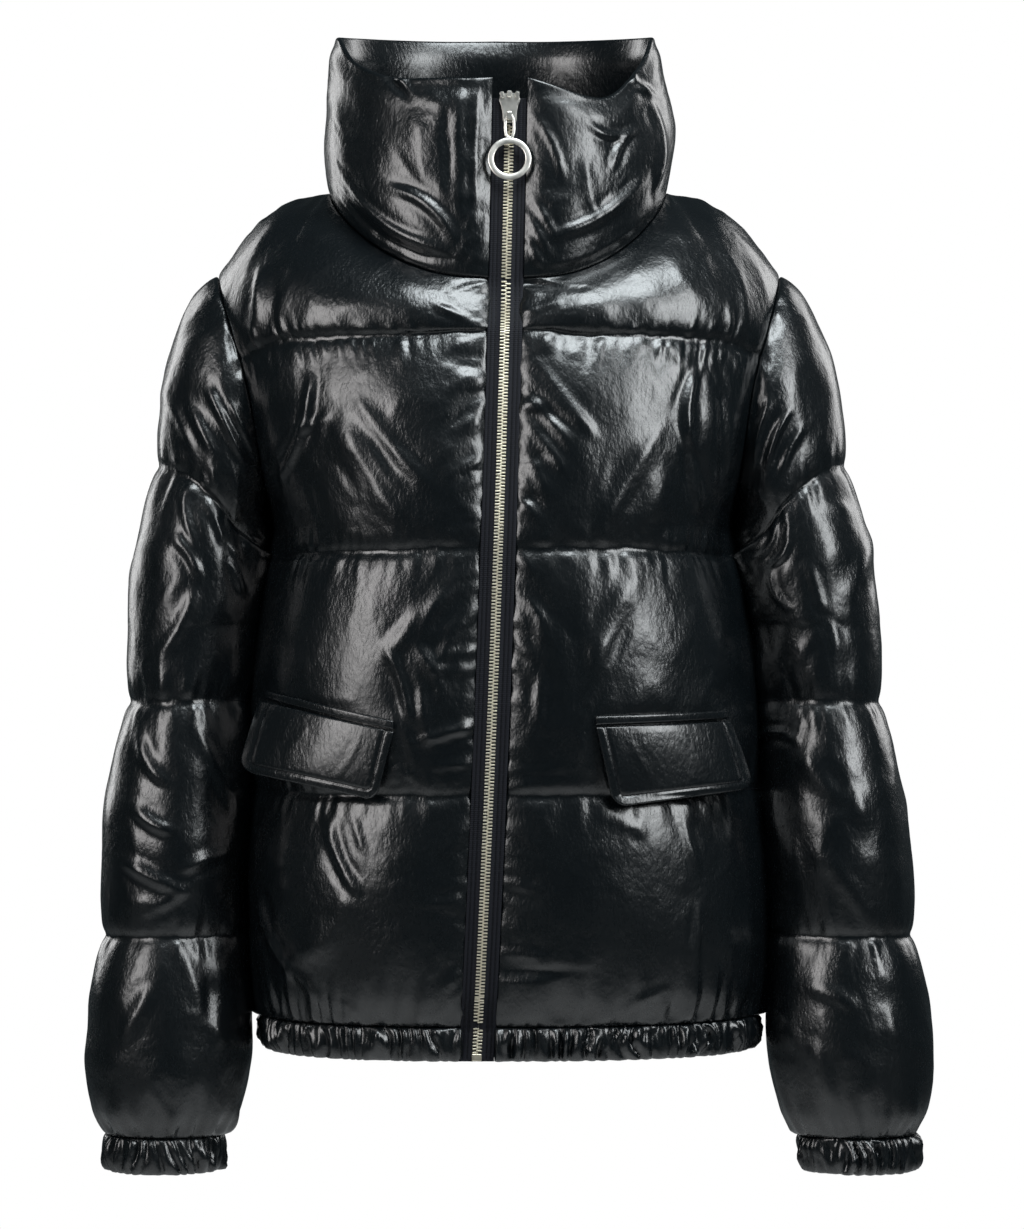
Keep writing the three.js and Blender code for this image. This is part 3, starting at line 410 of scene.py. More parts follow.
# a number between about -1 and 1 that varies slowly and is the same on each run
def uneven(*place):
    return noise.noise(Vector(place))


# slow, uneven dents of about 1
def dent(point, size, seed):
    return uneven(point.x / size + seed, point.y / size, point.z / size)


# sharp, shallow creases of about 1 between soft hollows
def crumple(point, size, seed):
    return 0.5 - 2.4 * abs(uneven(point.x / size + seed, point.y / size, point.z / (size * 1.5)))


# small folds square to a seam: strong beside it, of uneven length and width
def gather(along, distance, reach, seed):
    if distance > reach * 1.8:
        return 0.0
    wave = uneven(along / 8, distance / 60, seed) + 0.5 * uneven(along / 4.2, distance / 40, seed + 9)
    own = reach * (0.75 + 0.7 * uneven(along / 16, 0, seed + 4))
    return wave * math.exp(-(distance / max(4, own)) ** 2)


# Meshes

def pieceFrom(made, name):
    mesh = bpy.data.meshes.new(name)
    made.to_mesh(mesh)
    made.free()
    piece = bpy.data.objects.new(name, mesh)
    bpy.context.scene.collection.objects.link(piece)
    return piece


# a sheet from rows of points in metres, with named weights for each point
def gridMesh(name, points, groups, closed=False):
    rows, columns = len(points), len(points[0])
    made = bmesh.new()
    layer = made.verts.layers.deform.verify()
    bmesh.ops.create_grid(made, x_segments=columns - 1, y_segments=rows - 1, size=1)
    order = sorted(made.verts, key=lambda vert: (round(vert.co.y, 5), round(vert.co.x, 5)))
    for k, vert in enumerate(order):
        j, i = divmod(k, columns)
        vert.co = points[j][i]
        for g, weights in enumerate(groups.values()):
            vert[layer][g] = weights[j][i]
    if closed:
        bmesh.ops.remove_doubles(made, verts=[vert for vert in made.verts if vert.is_boundary], dist=1e-6)
    for face in made.faces:
        face.smooth = True
    piece = pieceFrom(made, name)
    for group in groups:
        piece.vertex_groups.new(name=group)
    return piece


def faceAwayFrom(piece, inside):
    mesh = piece.data
    score = sum((polygon.center - inside * mm).dot(polygon.normal) * polygon.area for polygon in mesh.polygons)
    if score < 0:
        mesh.flip_normals()


def bandSteps(counts, stops=None):
    stops = stops or list(range(len(counts) + 1))
    steps = [stops[0]]
    for low, high, count in zip(stops, stops[1:], counts):
        steps += [mix(low, high, (k + 1) / count) for k in range(count)]
    return steps


# one mesh of several
def joined(name, parts):
    made = bmesh.new()
    for part in parts:
        made.from_mesh(part.data)
    for part in parts:
        old = part.data
        bpy.data.objects.remove(part)
        bpy.data.meshes.remove(old)
    for face in made.faces:
        face.smooth = True
    return pieceFrom(made, name)


# The pocket flaps: corners on the torso, by distance from the middle and height

flaps = [
    dict(name="pocket_flap_right", welt="pocket_welt_right", panel=frontRight, seed=41.0, flare=15,
         innerTop=(72, -368), innerLow=(84, -413), outerTop=(157, -349), outerLow=(160, -396)),
    dict(name="pocket_flap_left", welt="pocket_welt_left", panel=frontLeft, seed=47.0, flare=9,
         innerTop=(59, -365), innerLow=(70, -417), outerTop=(146, -362), outerLow=(156, -407)),
]
weltTall = 7.0
coverMargin = 6.0


# 1 on the panel under its flap and welt, falling to 0 round them
def flapCover(panel, point):
    flap = next(flap for flap in flaps if flap["panel"]["side"] == panel["side"])
    x, z = abs(point.x), point.z
    (ix, iz), (jx, jz) = flap["innerTop"], flap["innerLow"]
    (ox, oz), (px, pz) = flap["outerTop"], flap["outerLow"]
    down = clamp((iz - z) / (iz - jz))
    across = clamp((x - ix) / (ox - ix))
    inner, outer = mix(ix, jx, down), mix(ox, px, down)
    high, low = mix(iz, oz, across) + weltTall, mix(jz, pz, across)
    nearest = min(x - inner, outer - x, z - low, high - z)
    return ease((nearest + coverMargin) / coverMargin)


# The torso's three padded panels

def torsoSurface(halves, us, vs):
    parts = [[[mirrored(p, half["side"]) for p in row] for row in torsoPoints(half, us, vs)] for half in halves]
    if len(parts) == 1:
        return parts[0], [(halves[0], u) for u in us]
    right, left = parts
    places = [(halves[0], u) for u in us[:0:-1]] + [(halves[1], u) for u in us]
    return [a[:0:-1] + b for a, b in zip(right, left)], places


# how far gathers, dents and creases rise and reach from their seam, in mm; tight is what fills the armpit
torsoLook = dict(
    wide=240, bandTall=145, edgeReach=0.2, dents=1.6, dentSize=48, creases=1.1, creaseSize=30,
    zipGather=5.2, zipReach=24, lineGather=2.6, lineReach=17, hemGather=6.0, hemReach=26,
    sideGather=1.1, sideReach=16, over=1.8, overUneven=2.4, overReach=11, dive=2.2, diveReach=3.2,
    lineWander=2.0, lineNear=24, filled=3.4, tight=8.0, tightZ=-248, tightTall=28,
)


# what fills the gap between body and sleeve, most in the armpit
def fillBeside(look, z):
    return look["filled"] + look["tight"] * math.exp(-((z - look["tightZ"]) / look["tightTall"]) ** 2)


def grooveDepth(fromLine):
    return garment["groove"] * math.exp(-fromLine / garment["grooveWide"])


def torsoCells(halves, us, vs, folds, seed):
    points, places = torsoSurface(halves, us, vs)
    look = torsoLook
    outs = gridOut(points, bodyMiddle)
    cells = []
    for j, v in enumerate(vs):
        band = max(0, min(3, math.ceil(v) - 1))
        hold = mix(0.9, 0.74, ease((v - 2) / 0.6))
        edgeOut = sideEdge(halves[0], v)[1]
        sideShare = 1.0 if v > 2 + underarmStep else mix(garment["sidePull"], 1, ease((v - 1.6) / 0.5))
        z = middleZ(v) if v <= 3 else mix(middleZ(3), topPoint(halves[0], 0)[2], v - 3)
        fromLine = min(v - band, band + 1 - v) * look["bandTall"]
        isInner = 0.4 < v < 3.6
        row = []
        for i, (panel, u) in enumerate(places):
            side, point, out = panel["side"], points[j][i], outs[j][i]
            level = Vector((out.x, out.y, 0)).normalized()
            out = turned(out, level, ease(1 - v / 0.3))
            if v > 3.55:
                out = turned(out, mirrored(topOut(panel, u), side), ease((v - 3.55) / 0.45))
            out = turned(out, mirrored(edgeOut, side), ease((u - hold) / (1 - hold)))
            if panel["isFront"]:
                out = turned(out, Vector((0, -1, 0)), zipHold(u))
            shoulder = 1.0
            if v > 3.5:
                shoulder = mix(1, 0.4, ease((u - garment["neckShare"]) / 0.1) * ease((1 - u) / 0.12))
            pressed = garment["pressed"] * ease((u - 0.75) / 0.25) * ease((2.1 - v) / 0.2)
            full = 1 - shoulder * (1 - pressed) * bandPull(v - band)
            full *= 1 - edgePull(1 - u, look["edgeReach"], sideShare)
            acrossWay, fromSide, fromZip = u * look["wide"], (1 - u) * look["wide"], 400.0
            if panel["isFront"]:
                full *= 1 - edgePull(u, look["edgeReach"])
                fromZip = acrossWay
            lean = 0.5 + 1.6 * uneven(z / 52, side * 3.0, seed + 21)
            drawn = clamp(0.5 + 1.9 * uneven(z / 30, side * 5.0, seed + 17), 0.12, 1.25)
            small = look["zipGather"] * drawn * gather(z + lean * fromZip, fromZip, look["zipReach"], seed)
            seam = "hem" if v < 0.5 else "line"
            along = acrossWay + side * 500
            small += look[seam + "Gather"] * gather(along, fromLine, look[seam + "Reach"], seed + band)
            if panel["isFront"]:
                over = look["over"] + look["overUneven"] * uneven(z / 7.5, 0, seed + 7)
                point = point - Vector((side * over * math.exp(-(fromZip / look["overReach"]) ** 2), 0, 0))
            if isInner:
                near = math.exp(-(fromLine / look["lineNear"]) ** 2) * clamp(fromZip / 20) * clamp((1 - u) * 12)
                wander = look["lineWander"] * near * uneven(point.x / 26, point.y / 26, seed + round(v))
                point = point + Vector((0, 0, wander))
            small += look["sideGather"] * gather(z, fromSide, look["sideReach"], seed + 31)
            cover = flapCover(panel, point) if panel["isFront"] and v < 2 else 0.0
            rise = garment["foldShare"] * foldRise(folds, *seen(point))
            rise += look["dents"] * dent(point, look["dentSize"], seed)
            rise += look["creases"] * crumple(point, look["creaseSize"], seed + 3)
            keep = clamp(min(fromZip, fromLine, fromSide) / 5)
            beside = ease((u - 0.8) / 0.2) * ease((2.36 - v) / 0.22)
            groove = grooveDepth(fromLine) * isInner * (1 - beside)
            filled = beside * fillBeside(look, z)
            depth = clamp(1 - full) * garment["stitchDepth"] + groove
            depth = depth - (1 - cover) * (rise * full + small * keep) - filled
            depth += look["dive"] * math.exp(-(fromZip / look["diveReach"]) ** 2)
            row.append(dict(point=point, out=out, depth=depth, full=full, isLine=fromLine < 0.5, fromZip=fromZip,
                            isCovered=cover > 0.5))
        cells.append(row)
    return cells


# outer points with a row for the rim at both ends, sunk by what the swelling will lift
def outerRows(cells, sunk):
    wall = garment["wall"]
    full = [[cell["point"] - cell["out"] * (cell["depth"] + sunk * cell["full"]) for cell in row] for row in cells]
    rims = [[cell["point"] - cell["out"] * wall for cell in row] for row in (cells[0], cells[-1])]
    return [rims[0], *full, rims[1]]


# the same with a rim point at both ends of each row
def withEndRims(rows, cells):
    wall = garment["wall"]
    ends = [cells[0], *cells, cells[-1]]
    grown = []
    for k, (row, line) in enumerate(zip(rows, ends)):
        first, last = line[0], line[-1]
        # two corner points in one place would stop the swelling
        deep = wall + (1.0 if k in (0, len(rows) - 1) else 0.0)
        grown.append([first["point"] - first["out"] * deep, *row, last["point"] - last["out"] * deep])
    return grown


# held at seams, rims and quilting lines; slack where the cloth is gathered
def holdWeights(cells, closed):
    holds, slacks = [], []
    for row in cells:
        hold = [1.0 if cell["isLine"] or cell["full"] < 0.02 or cell["isCovered"] else 0.0 for cell in row]
        slack = [clamp(0.35 + 0.65 * math.exp(-(cell["fromZip"] / 40) ** 2)) for cell in row]
        if not closed:
            hold = [1.0, *hold, 1.0]
            slack = [slack[0], *slack, slack[-1]]
        holds.append(hold)
        slacks.append(slack)
    ends = [1.0] * len(holds[0])
    return [ends, *holds, ends], [slacks[0], *slacks, slacks[-1]]


# how deep the cloth starts, the furthest it may move, and its settings as cloth
padding = dict(sunk=1.0, cap=6.0, frames=20, pressure=4.0, mass=0.003, slack=-0.16, bending=0.02, quality=6)


def paddedPiece(name, cells, closed=False, inside=bodyMiddle):
    rows = outerRows(cells, padding["sunk"])
    if not closed:
        rows = withEndRims(rows, cells)
    holds, slacks = holdWeights(cells, closed)
    points = [[place(point) for point in row] for row in rows]
    piece = gridMesh(name, points, dict(hold=holds, slack=slacks), closed)
    faceAwayFrom(piece, inside)
    return piece


# lets the padding push the held cloth out, all pieces in step, then keeps the shape
def swell(pieces):
    scene = bpy.context.scene
    for piece in pieces:
        cloth = piece.modifiers.new("swell", "CLOTH")
        settings = cloth.settings
        settings.quality = padding["quality"]
        settings.mass = padding["mass"]
        settings.tension_stiffness = settings.compression_stiffness = 12
        settings.shear_stiffness = 4
        settings.bending_stiffness = padding["bending"]
        settings.tension_damping = settings.compression_damping = settings.shear_damping = 5
        settings.air_damping = 2
        settings.use_pressure = True
        settings.uniform_pressure_force = padding["pressure"]
        settings.vertex_group_mass = "hold"
        settings.vertex_group_shrink = "slack"
        settings.shrink_min, settings.shrink_max = 0.0, padding["slack"]
        settings.effector_weights.gravity = 0
        cloth.collision_settings.use_collision = False
        cloth.collision_settings.use_self_collision = False
        cloth.point_cache.frame_start, cloth.point_cache.frame_end = 1, padding["frames"]
    for step in range(1, padding["frames"] + 1):
        scene.frame_set(step)
    graph = bpy.context.evaluated_depsgraph_get()
    cap = padding["cap"] * mm
    for piece in pieces:
        mesh = piece.data
        count = len(mesh.vertices)
        swollen = piece.evaluated_get(graph).data
        ends = [vert.co.copy() for vert in swollen.vertices]
        moved = 0.0
        for vert, end in zip(mesh.vertices, ends):
            step = end - vert.co
            moved = max(moved, step.length)
            vert.co += step * min(1.0, cap / max(1e-9, step.length))
        piece.modifiers.remove(piece.modifiers["swell"])
        report(f"{piece.name} swollen, {count} points, furthest {moved / mm:.1f} mm")
    scene.frame_set(1)


# one round of smooth subdivision, kept
def refined(piece):
    step = piece.modifiers.new("fine", "SUBSURF")
    step.levels = step.render_levels = 1
    graph = bpy.context.evaluated_depsgraph_get()
    fine = bpy.data.meshes.new_from_object(piece.evaluated_get(graph))
    piece.modifiers.remove(step)
    old, piece.data = piece.data, fine
    bpy.data.meshes.remove(old)


bandCounts = (44, 46, 42, 32)
panels = [
    dict(name="front_right", halves=[frontRight], columns=74, seed=3.1, folds=[
        (-162, -53, -177, -114, 2.7, 4.8, 2.5), (-151, -58, -171, -117, 3.4, 6.1, -2),
        (-130, -119, -148, -198, 6.8, 4.8, 3.5), (-140, -165, -115, -155, -2.7, 4.1, 2),
        (-112, -158, -64, -246, 3, 15, 4.6), (-98, -140, -44, -206, -4.1, 8.8, 2.5),
        (-160, -194, -156, -238, 0, 3.4, 1.5), (-149, -191, -141, -238, 0, 4.1, 1.8),
        (-134, -201, -126, -240, 0, 4.1, 1.5), (-9, -96, -42, -80, 0, 4.1, 2.5), (-13, -101, -38, -112, 0, 3.4, 3),
        (-7, -114, -35, -141, 0, 4.1, 3), (-8, -136, -39, -159, 0, 4.8, 3), (-8, -150, -31, -168, 0, 4.1, 3),
        (-12, -174, -29, -180, 0, 3.4, 2.5), (-9, -184, -24, -208, 0, 3.4, 3), (-7, -214, -27, -210, 0, 3.4, 2),
        (-9, -235, -28, -212, 0, 4.1, 3.5), (-13, -255, -53, -310, -5.4, 6.8, 4), (-15, -276, -42, -331, 0, 6.1, 4),
        (-19, -310, -39, -350, 0, 4.8, 3), (-58, -312, -38, -350, 4, 6.1, 3), (-12, -282, -29, -293, 0, 3.4, 2.5),
        (-75, -316, -60, -370, 2.7, 4.8, 3.5), (-68, -365, -58, -397, 2, 4.1, 3), (-31, -354, -17, -391, 2, 4.1, 3),
        (-15, -344, -29, -320, 0, 3.4, 2.5), (-90, -421, -47, -417, 20.4, 3.4, 4.5),
        (-85, -423, -57, -417, 11.6, 2.7, -3.5), (-83, -418, -62, -416, 5.4, 2.7, 3),
        (-119, -423, -96, -481, -4.1, 5.4, 3.5), (-102, -427, -92, -454, 0, 4.1, 2.5),
        (-164, -481, -145, -538, -2.7, 4.8, 3.5), (-168, -432, -163, -486, 0, 2.7, 1.2),
        (-117, -556, -90, -571, 2.7, 3.4, 2.5), (-31, -550, -50, -572, 2.7, 4.1, 3),
        (-145, -533, -122, -563, 2, 5.4, 2.5), (-99, -472, -134, -529, 5.4, 16.3, 3),
        (-76, -324, -22, -258, 3, 11, 3.4), (-52, -340, -44, -384, -3, 5, 3), (-16, -212, -34, -236, 2, 4, 2.6),
        (-14, -122, -36, -150, 2, 4.2, 2.4), (-14, -476, -34, -452, 2, 4.2, 2.4),
    ]),
    dict(name="front_left", halves=[frontLeft], columns=74, seed=8.7, folds=[
        (170, -131, 159, -78, 0, 4.1, 3.5), (169, -129, 184, -87, 0, 4.8, 2.5), (149, -127, 153, -91, 0, 4.1, 3),
        (116, -104, 142, -122, -4.1, 6.1, 2.5), (142, -121, 132, -180, -6.8, 6.1, 5),
        (132, -178, 138, -223, 0, 5.4, 3), (156, -133, 150, -220, 0, 7, -3.4), (119, -157, 70, -245, -4.1, 12.2, 4),
        (128, -160, 104, -246, -4, 15, 4.4), (97, -228, 116, -247, -5.4, 6.8, -2.5),
        (17, -108, 67, -171, 0, 5.4, 3), (17, -123, 56, -164, 0, 4.8, 3), (18, -141, 49, -174, 0, 4.8, 3),
        (15, -99, 59, -114, 0, 4.8, 2), (17, -157, 47, -194, 0, 4.8, 3), (15, -174, 40, -214, 0, 4.8, 2.5),
        (19, -184, 34, -228, 2.7, 4.8, 3), (18, -201, 25, -245, 2.7, 4.1, 3), (15, -87, 42, -78, 0, 4.1, 2),
        (22, -93, 49, -96, 0, 3.4, 1.5), (13, -257, 32, -276, 0, 4.1, 2.5), (11, -272, 36, -310, 4.1, 5.4, 3.5),
        (13, -310, 29, -350, 4.1, 4.8, 3.5), (29, -337, 13, -405, 5.4, 4.1, 3.5), (66, -344, 56, -367, 0, 3.4, 2.5),
        (57, -374, 61, -401, 0, 2.7, 2.5), (97, -265, 67, -331, -5.4, 12.2, 3.5),
        (42, -276, 53, -350, 4.1, 10.9, -2), (70, -427, 104, -440, 0, 6.8, 3), (131, -427, 138, -466, -2, 4.1, 2.5),
        (137, -486, 136, -571, 0, 3.4, 2.5), (168, -439, 173, -541, 0, 4.8, 1.5),
        (83, -568, 119, -548, 2.7, 4.1, 3.5), (10, -439, 18, -486, 0, 4.1, 2), (29, -565, 70, -571, -2, 4.1, 2),
        (14, -262, 30, -318, 5, 5, 4), (32, -322, 14, -392, 5, 5, 3.6), (16, -420, 40, -446, 2, 4.4, 2.6),
        (14, -512, 34, -540, 2, 4.4, 2.6),
    ]),
    dict(name="back", halves=[backRight, backLeft], columns=64, seed=14.2, folds=[
        (-128, -128, -92, -222, 5, 7, 3.5), (-118, -140, -66, -210, -4, 6, 3), (-136, -150, -112, -240, 3, 6, 3),
        (130, -130, 96, -220, -5, 7, 3.5), (120, -142, 62, -206, 4, 6, 3), (138, -150, 116, -238, -3, 6, 3),
        (-60, -60, -20, -96, 3, 10, 2.5), (48, -56, 10, -98, -3, 10, 2.5), (-40, -180, 20, -236, 6, 14, 3),
        (40, -150, 80, -190, -5, 12, 2.5), (-110, -300, -50, -380, 8, 14, 3), (100, -290, 44, -372, -8, 14, 3),
        (-20, -290, 20, -330, 4, 12, -2), (-136, -330, -120, -400, 0, 7, 2.5), (140, -320, 122, -398, 0, 7, 2.5),
        (-90, -450, -40, -520, 6, 16, 3), (84, -440, 50, -530, -6, 16, 3), (-10, -440, 16, -500, 4, 14, -2),
        (-130, -470, -118, -545, 0, 7, 2.5), (128, -480, 112, -548, 0, 7, 2.5),
    ]),
]


# the plain inner face, on every third point
def liningSheet(name, cells, closed):
    wall = garment["wall"]
    keepRows = cells[::3] + ([] if (len(cells) - 1) % 3 == 0 else [cells[-1]])
    rows = []
    for row in keepRows:
        keep = row[::3] + ([] if (len(row) - 1) % 3 == 0 else [row[-1]])
        rows.append([place(cell["point"] - cell["out"] * wall) for cell in keep])
    return gridMesh(name, rows, {}, closed)


for panel in panels:
    count = panel["columns"]
    us = [i / count for i in range(count + 1)]
    folds = strokes(panel["folds"])
    panel["cells"] = torsoCells(panel["halves"], us, bandSteps(bandCounts), folds, panel["seed"])
    panel["piece"] = paddedPiece(panel["name"] + "_quilt", panel["cells"])
report("torso")


# The sleeves

sleeveLook = dict(
    bandTall=150, girth=350, reach=36, reachMore=14, dents=1.8, dentSize=45, creases=1.2, creaseSize=28,
    lineGather=2.4, lineReach=17, cuffGather=6.2, cuffReach=28, filled=3.2, tight=8.0, tightZ=-250, tightTall=28,
)


def sleeveCells(side, folds, rear, seed, columns, counts):
    look = sleeveLook
    turns = [12 * i / columns for i in range(columns + 1)]
    vs = bandSteps(counts)
    stops = [sleeveStops(turn % 12) for turn in turns[:-1]]
    stops.append(stops[0])
    points = []
    for v in vs:
        band = max(0, min(3, math.ceil(v) - 1))
        row = [mirrored(sleeveOutline(turn % 12, mix(stop[band], stop[band + 1], v - band)), side)
               for turn, stop in zip(turns, stops)]
        points.append(row)
    outs = gridOut(points, Vector((side * sleeveCentre(-350), 0, -350)), closed=True)
    cells = []
    for j, v in enumerate(vs):
        band = max(0, min(3, math.ceil(v) - 1))
        row = []
        for i, turn in enumerate(turns):
            turn = turn % 12
            point, out = points[j][i], outs[j][i]
            level = Vector((out.x, out.y, 0)).normalized()
            out = turned(out, level, ease((v - 3.6) / 0.4))
            top = mirrored(armholePoint(turn), side)
            fromSeam = (point - top).length
            reach = look["reach"] + look["reachMore"] * math.cos(turn / 6 * math.pi)
            out = turned(out, mirrored(armholeOut(turn), side), ease(1 - fromSeam / reach))
            short = 1.0
            if band == 0:
                first = mirrored(sleeveOutline(turn, stops[i][1]), side)
                short = clamp((first - top).length / 70)
            inner = (1 - math.cos(turn / 6 * math.pi)) / 2
            pressed = garment["pressed"] * ease((inner - 0.75) / 0.25) * ease((v - 0.9) / 0.1)
            full = short * (1 - (1 - pressed) * bandPull(v - band))
            fromLine = min(v - band, band + 1 - v) * look["bandTall"]
            around = turn / 12 * look["girth"]
            wrap = min(around, look["girth"] - around)
            seam = "cuff" if v > 3.5 else "line"
            along = wrap + (900 if turn > 6 else 0)  # front and rear gather each in its own way
            small = look[seam + "Gather"] * gather(along, fromLine, look[seam + "Reach"], seed + band)
            small *= clamp(wrap / 12) * clamp((look["girth"] / 2 - wrap) / 12)
            isAhead = point.y < sleeveForward(point.z)
            rise = garment["foldShare"] * foldRise(folds if isAhead else rear, *seen(point))
            rise += look["dents"] * dent(point, look["dentSize"], seed)
            rise += look["creases"] * crumple(point, look["creaseSize"], seed + 3)
            keep = clamp(fromLine / 5)
            groove = grooveDepth(fromLine) * (0.4 < v < 3.6)
            beside = ease((inner - 0.8) / 0.2) * ease((v - 0.2) / 0.3) * ease((4 - v) / 0.4)
            filled = beside * fillBeside(look, point.z)
            depth = (1 - full) * garment["stitchDepth"] + groove - rise * full - small * keep - filled
            row.append(dict(point=point, out=out, depth=depth, full=full, isLine=fromLine < 0.5, fromZip=400.0,
                            isCovered=False))
        cells.append(row)
    return cells


sleeveCounts = (38, 42, 46, 40)
sleeves = [
    dict(name="sleeve_right", side=-1, seed=21.4, folds=[
        (-199, -136, -170, -191, 0, 4.8, 3.5), (-183, -146, -160, -194, 0, 4.8, 3.5),
        (-213, -146, -192, -184, 0, 5.4, 2.5), (-226, -143, -209, -180, 0, 5.4, 2),
        (-219, -194, -205, -248, -2, 4.1, 3.5), (-203, -214, -186, -247, 4.1, 3.4, 4),
        (-202, -213, -194, -194, -3.4, 4.1, 4), (-192, -194, -175, -255, -4.1, 4.8, 3),
        (-175, -201, -178, -228, 0, 4.1, 3), (-171, -214, -175, -276, -2.7, 4.8, 3),
        (-181, -255, -173, -280, 0, 3.4, 2.5), (-221, -238, -202, -269, 2.7, 5.4, 3),
        (-204, -272, -235, -323, 4.1, 8.2, 3.5), (-245, -322, -240, -345, -4.1, 3.4, 3.5),
        (-239, -348, -209, -346, 4.1, 3.4, 3), (-251, -350, -243, -391, 0, 6.1, 2.5),
        (-247, -374, -225, -408, -4.1, 6.1, 3.5), (-249, -422, -221, -440, -2.7, 6.1, 3.5),
        (-258, -458, -212, -481, -2, 6.8, 4), (-254, -490, -223, -486, 0, 5.4, 2.5),
        (-212, -480, -251, -497, 2.7, 4.8, 3), (-262, -507, -250, -526, 0, 5.4, 2.5),
        (-209, -364, -178, -432, 4.1, 6.8, 2), (-182, -452, -216, -466, 0, 6.1, 2.5),
        (-236, -544, -257, -585, 0, 8.2, 2.5), (-219, -514, -202, -561, 3.4, 8.2, 2),
        (-187, -527, -191, -595, 0, 6.1, 2), (-236, -616, -223, -639, 0, 4.1, 2),
    ]),
    dict(name="sleeve_left", side=1, seed=27.9, folds=[
        (173, -194, 187, -145, 2.7, 4.1, 3), (183, -195, 199, -153, 2.7, 4.1, 3),
        (193, -197, 210, -163, 2, 4.8, 2.5), (170, -163, 173, -133, 0, 4.1, 3),
        (166, -204, 181, -223, 2.7, 3.4, 3.5), (183, -220, 176, -255, 5.4, 3.4, 4),
        (188, -217, 197, -239, 3.4, 3.4, 3.5), (197, -239, 184, -259, 3.4, 3.4, 3.5),
        (185, -259, 196, -289, -3.4, 3.4, 3), (211, -255, 222, -291, 0, 4.8, 2),
        (168, -257, 181, -350, 2.7, 4.1, 2.5), (219, -303, 189, -344, -2.7, 4.8, 2.5),
        (227, -296, 231, -329, 2.7, 5.4, 2), (174, -379, 202, -380, 7.5, 3.4, 4.5),
        (200, -380, 204, -361, 0, 3.4, 3), (184, -365, 199, -368, 0, 2.7, 2), (248, -356, 265, -342, 2, 4.1, 3),
        (206, -378, 234, -420, -4.1, 10.9, 2.5), (219, -452, 260, -507, 0, 10.9, 2),
        (199, -439, 206, -500, 0, 6.8, 2), (236, -391, 251, -439, 0, 9.5, 2), (206, -544, 246, -561, 2.7, 8.2, 2),
        (214, -582, 226, -629, 0, 8.2, 2), (267, -554, 274, -609, 0, 8.2, 1.5), (260, -228, 240, -282, 0, 9.5, 2),
        (216, -214, 246, -223, 2.7, 6.1, 2),
    ]),
]
# the rear of each sleeve takes the other's folds, turned over
turnedOver = [[(-x0, z0 - 6, -x1, z1 - 6, -bow, wide, rise) for x0, z0, x1, z1, bow, wide, rise in sleeve["folds"]]
              for sleeve in sleeves]
for sleeve, rear in zip(sleeves, reversed(turnedOver)):
    folds = strokes(sleeve["folds"])
    sleeve["cells"] = sleeveCells(sleeve["side"], folds, strokes(rear), sleeve["seed"], 96, sleeveCounts)
    sleeve["middle"] = Vector((sleeve["side"] * 222, 0, -400))
    sleeve["piece"] = paddedPiece(sleeve["name"] + "_quilt", sleeve["cells"], True, sleeve["middle"])
report("sleeves")


# The collar: up its outer face, over the top and down its inner face

def collarPlaces(count):
    us = [i / count for i in range(count + 1)]
    right = [(frontRight, u) for u in us] + [(backRight, u) for u in us[-2::-1]]
    left = [(frontLeft, u) for u in us] + [(backLeft, u) for u in us[-2::-1]]
    return right + left[-2::-1]


collarLook = dict(
    edgeReach=0.2, wide=165, girth=330, tall=150, dents=1.5, dentSize=44, creases=0.6, creaseSize=34,
    seamGather=1.0, seamReach=22, zipGather=1.3, zipReach=20, topThin=3.5,
    puff=9, puffAround=0.47, puffUp=0.42, puffWide=0.3, puffTall=0.5,
)


def collarCells(count, ts, folds, seed):
    look = collarLook
    places = collarPlaces(count)
    points = [[mirrored(collarPoint(panel, u, t), panel["side"]) for panel, u in places] for t in ts]
    outs = gridOut(points, Vector((0, 0, 20)))
    cells = []
    for j, t in enumerate(ts):
        row = []
        for i, (panel, u) in enumerate(places):
            side, out = panel["side"], outs[j][i].copy()
            out.z *= 0.3
            share = u * garment["neckShare"]
            out = turned(out.normalized(), mirrored(topOut(panel, share), side), ease(1 - t / 0.4))
            wayRound = u / 2 if panel["isFront"] else 1 - u / 2
            full = (1 - clamp(1 - t / 0.34) ** 2) * (1 - 0.5 * ease((t - 0.84) / 0.16) ** 2)
            fromZip = 400.0
            if panel["isFront"]:
                out = turned(out, Vector((0, -1, 0)), zipHold(share))
                full *= 1 - edgePull(u, look["edgeReach"])
                fromZip = u * look["wide"]
            isAhead = panel["isFront"] or u > 0.9
            rise = garment["collarFolds"] * foldRise(folds if isAhead else [], *seen(points[j][i]))
            soft = look["dents"] * dent(points[j][i], look["dentSize"], seed)
            rise += soft + look["creases"] * crumple(points[j][i], look["creaseSize"], seed + 3)
            along = (side * wayRound - look["puffAround"]) / look["puffWide"]
            across = (t - look["puffUp"]) / look["puffTall"]
            bulge = math.exp(-across * across * 2) - 0.5 * math.exp(-across * across * 0.5)
            rise += look["puff"] * math.exp(-along * along * 4) * bulge
            around, up = side * wayRound * look["girth"], t * look["tall"]
            small = look["seamGather"] * gather(around, up, look["seamReach"], seed)
            small += look["zipGather"] * gather(up, fromZip, look["zipReach"], seed + 5)
            keep = clamp(min(fromZip, up) / 5)
            depth = (1 - full) * garment["stitchDepth"] - rise * max(full, 0.75 * ease(t * 14)) - small * keep
            inner = garment["wall"] - look["topThin"] * ease((t - 0.88) / 0.12)
            row.append(dict(point=points[j][i], out=out, depth=depth, full=full, fromZip=fromZip, inner=inner))
        cells.append(row)
    return cells


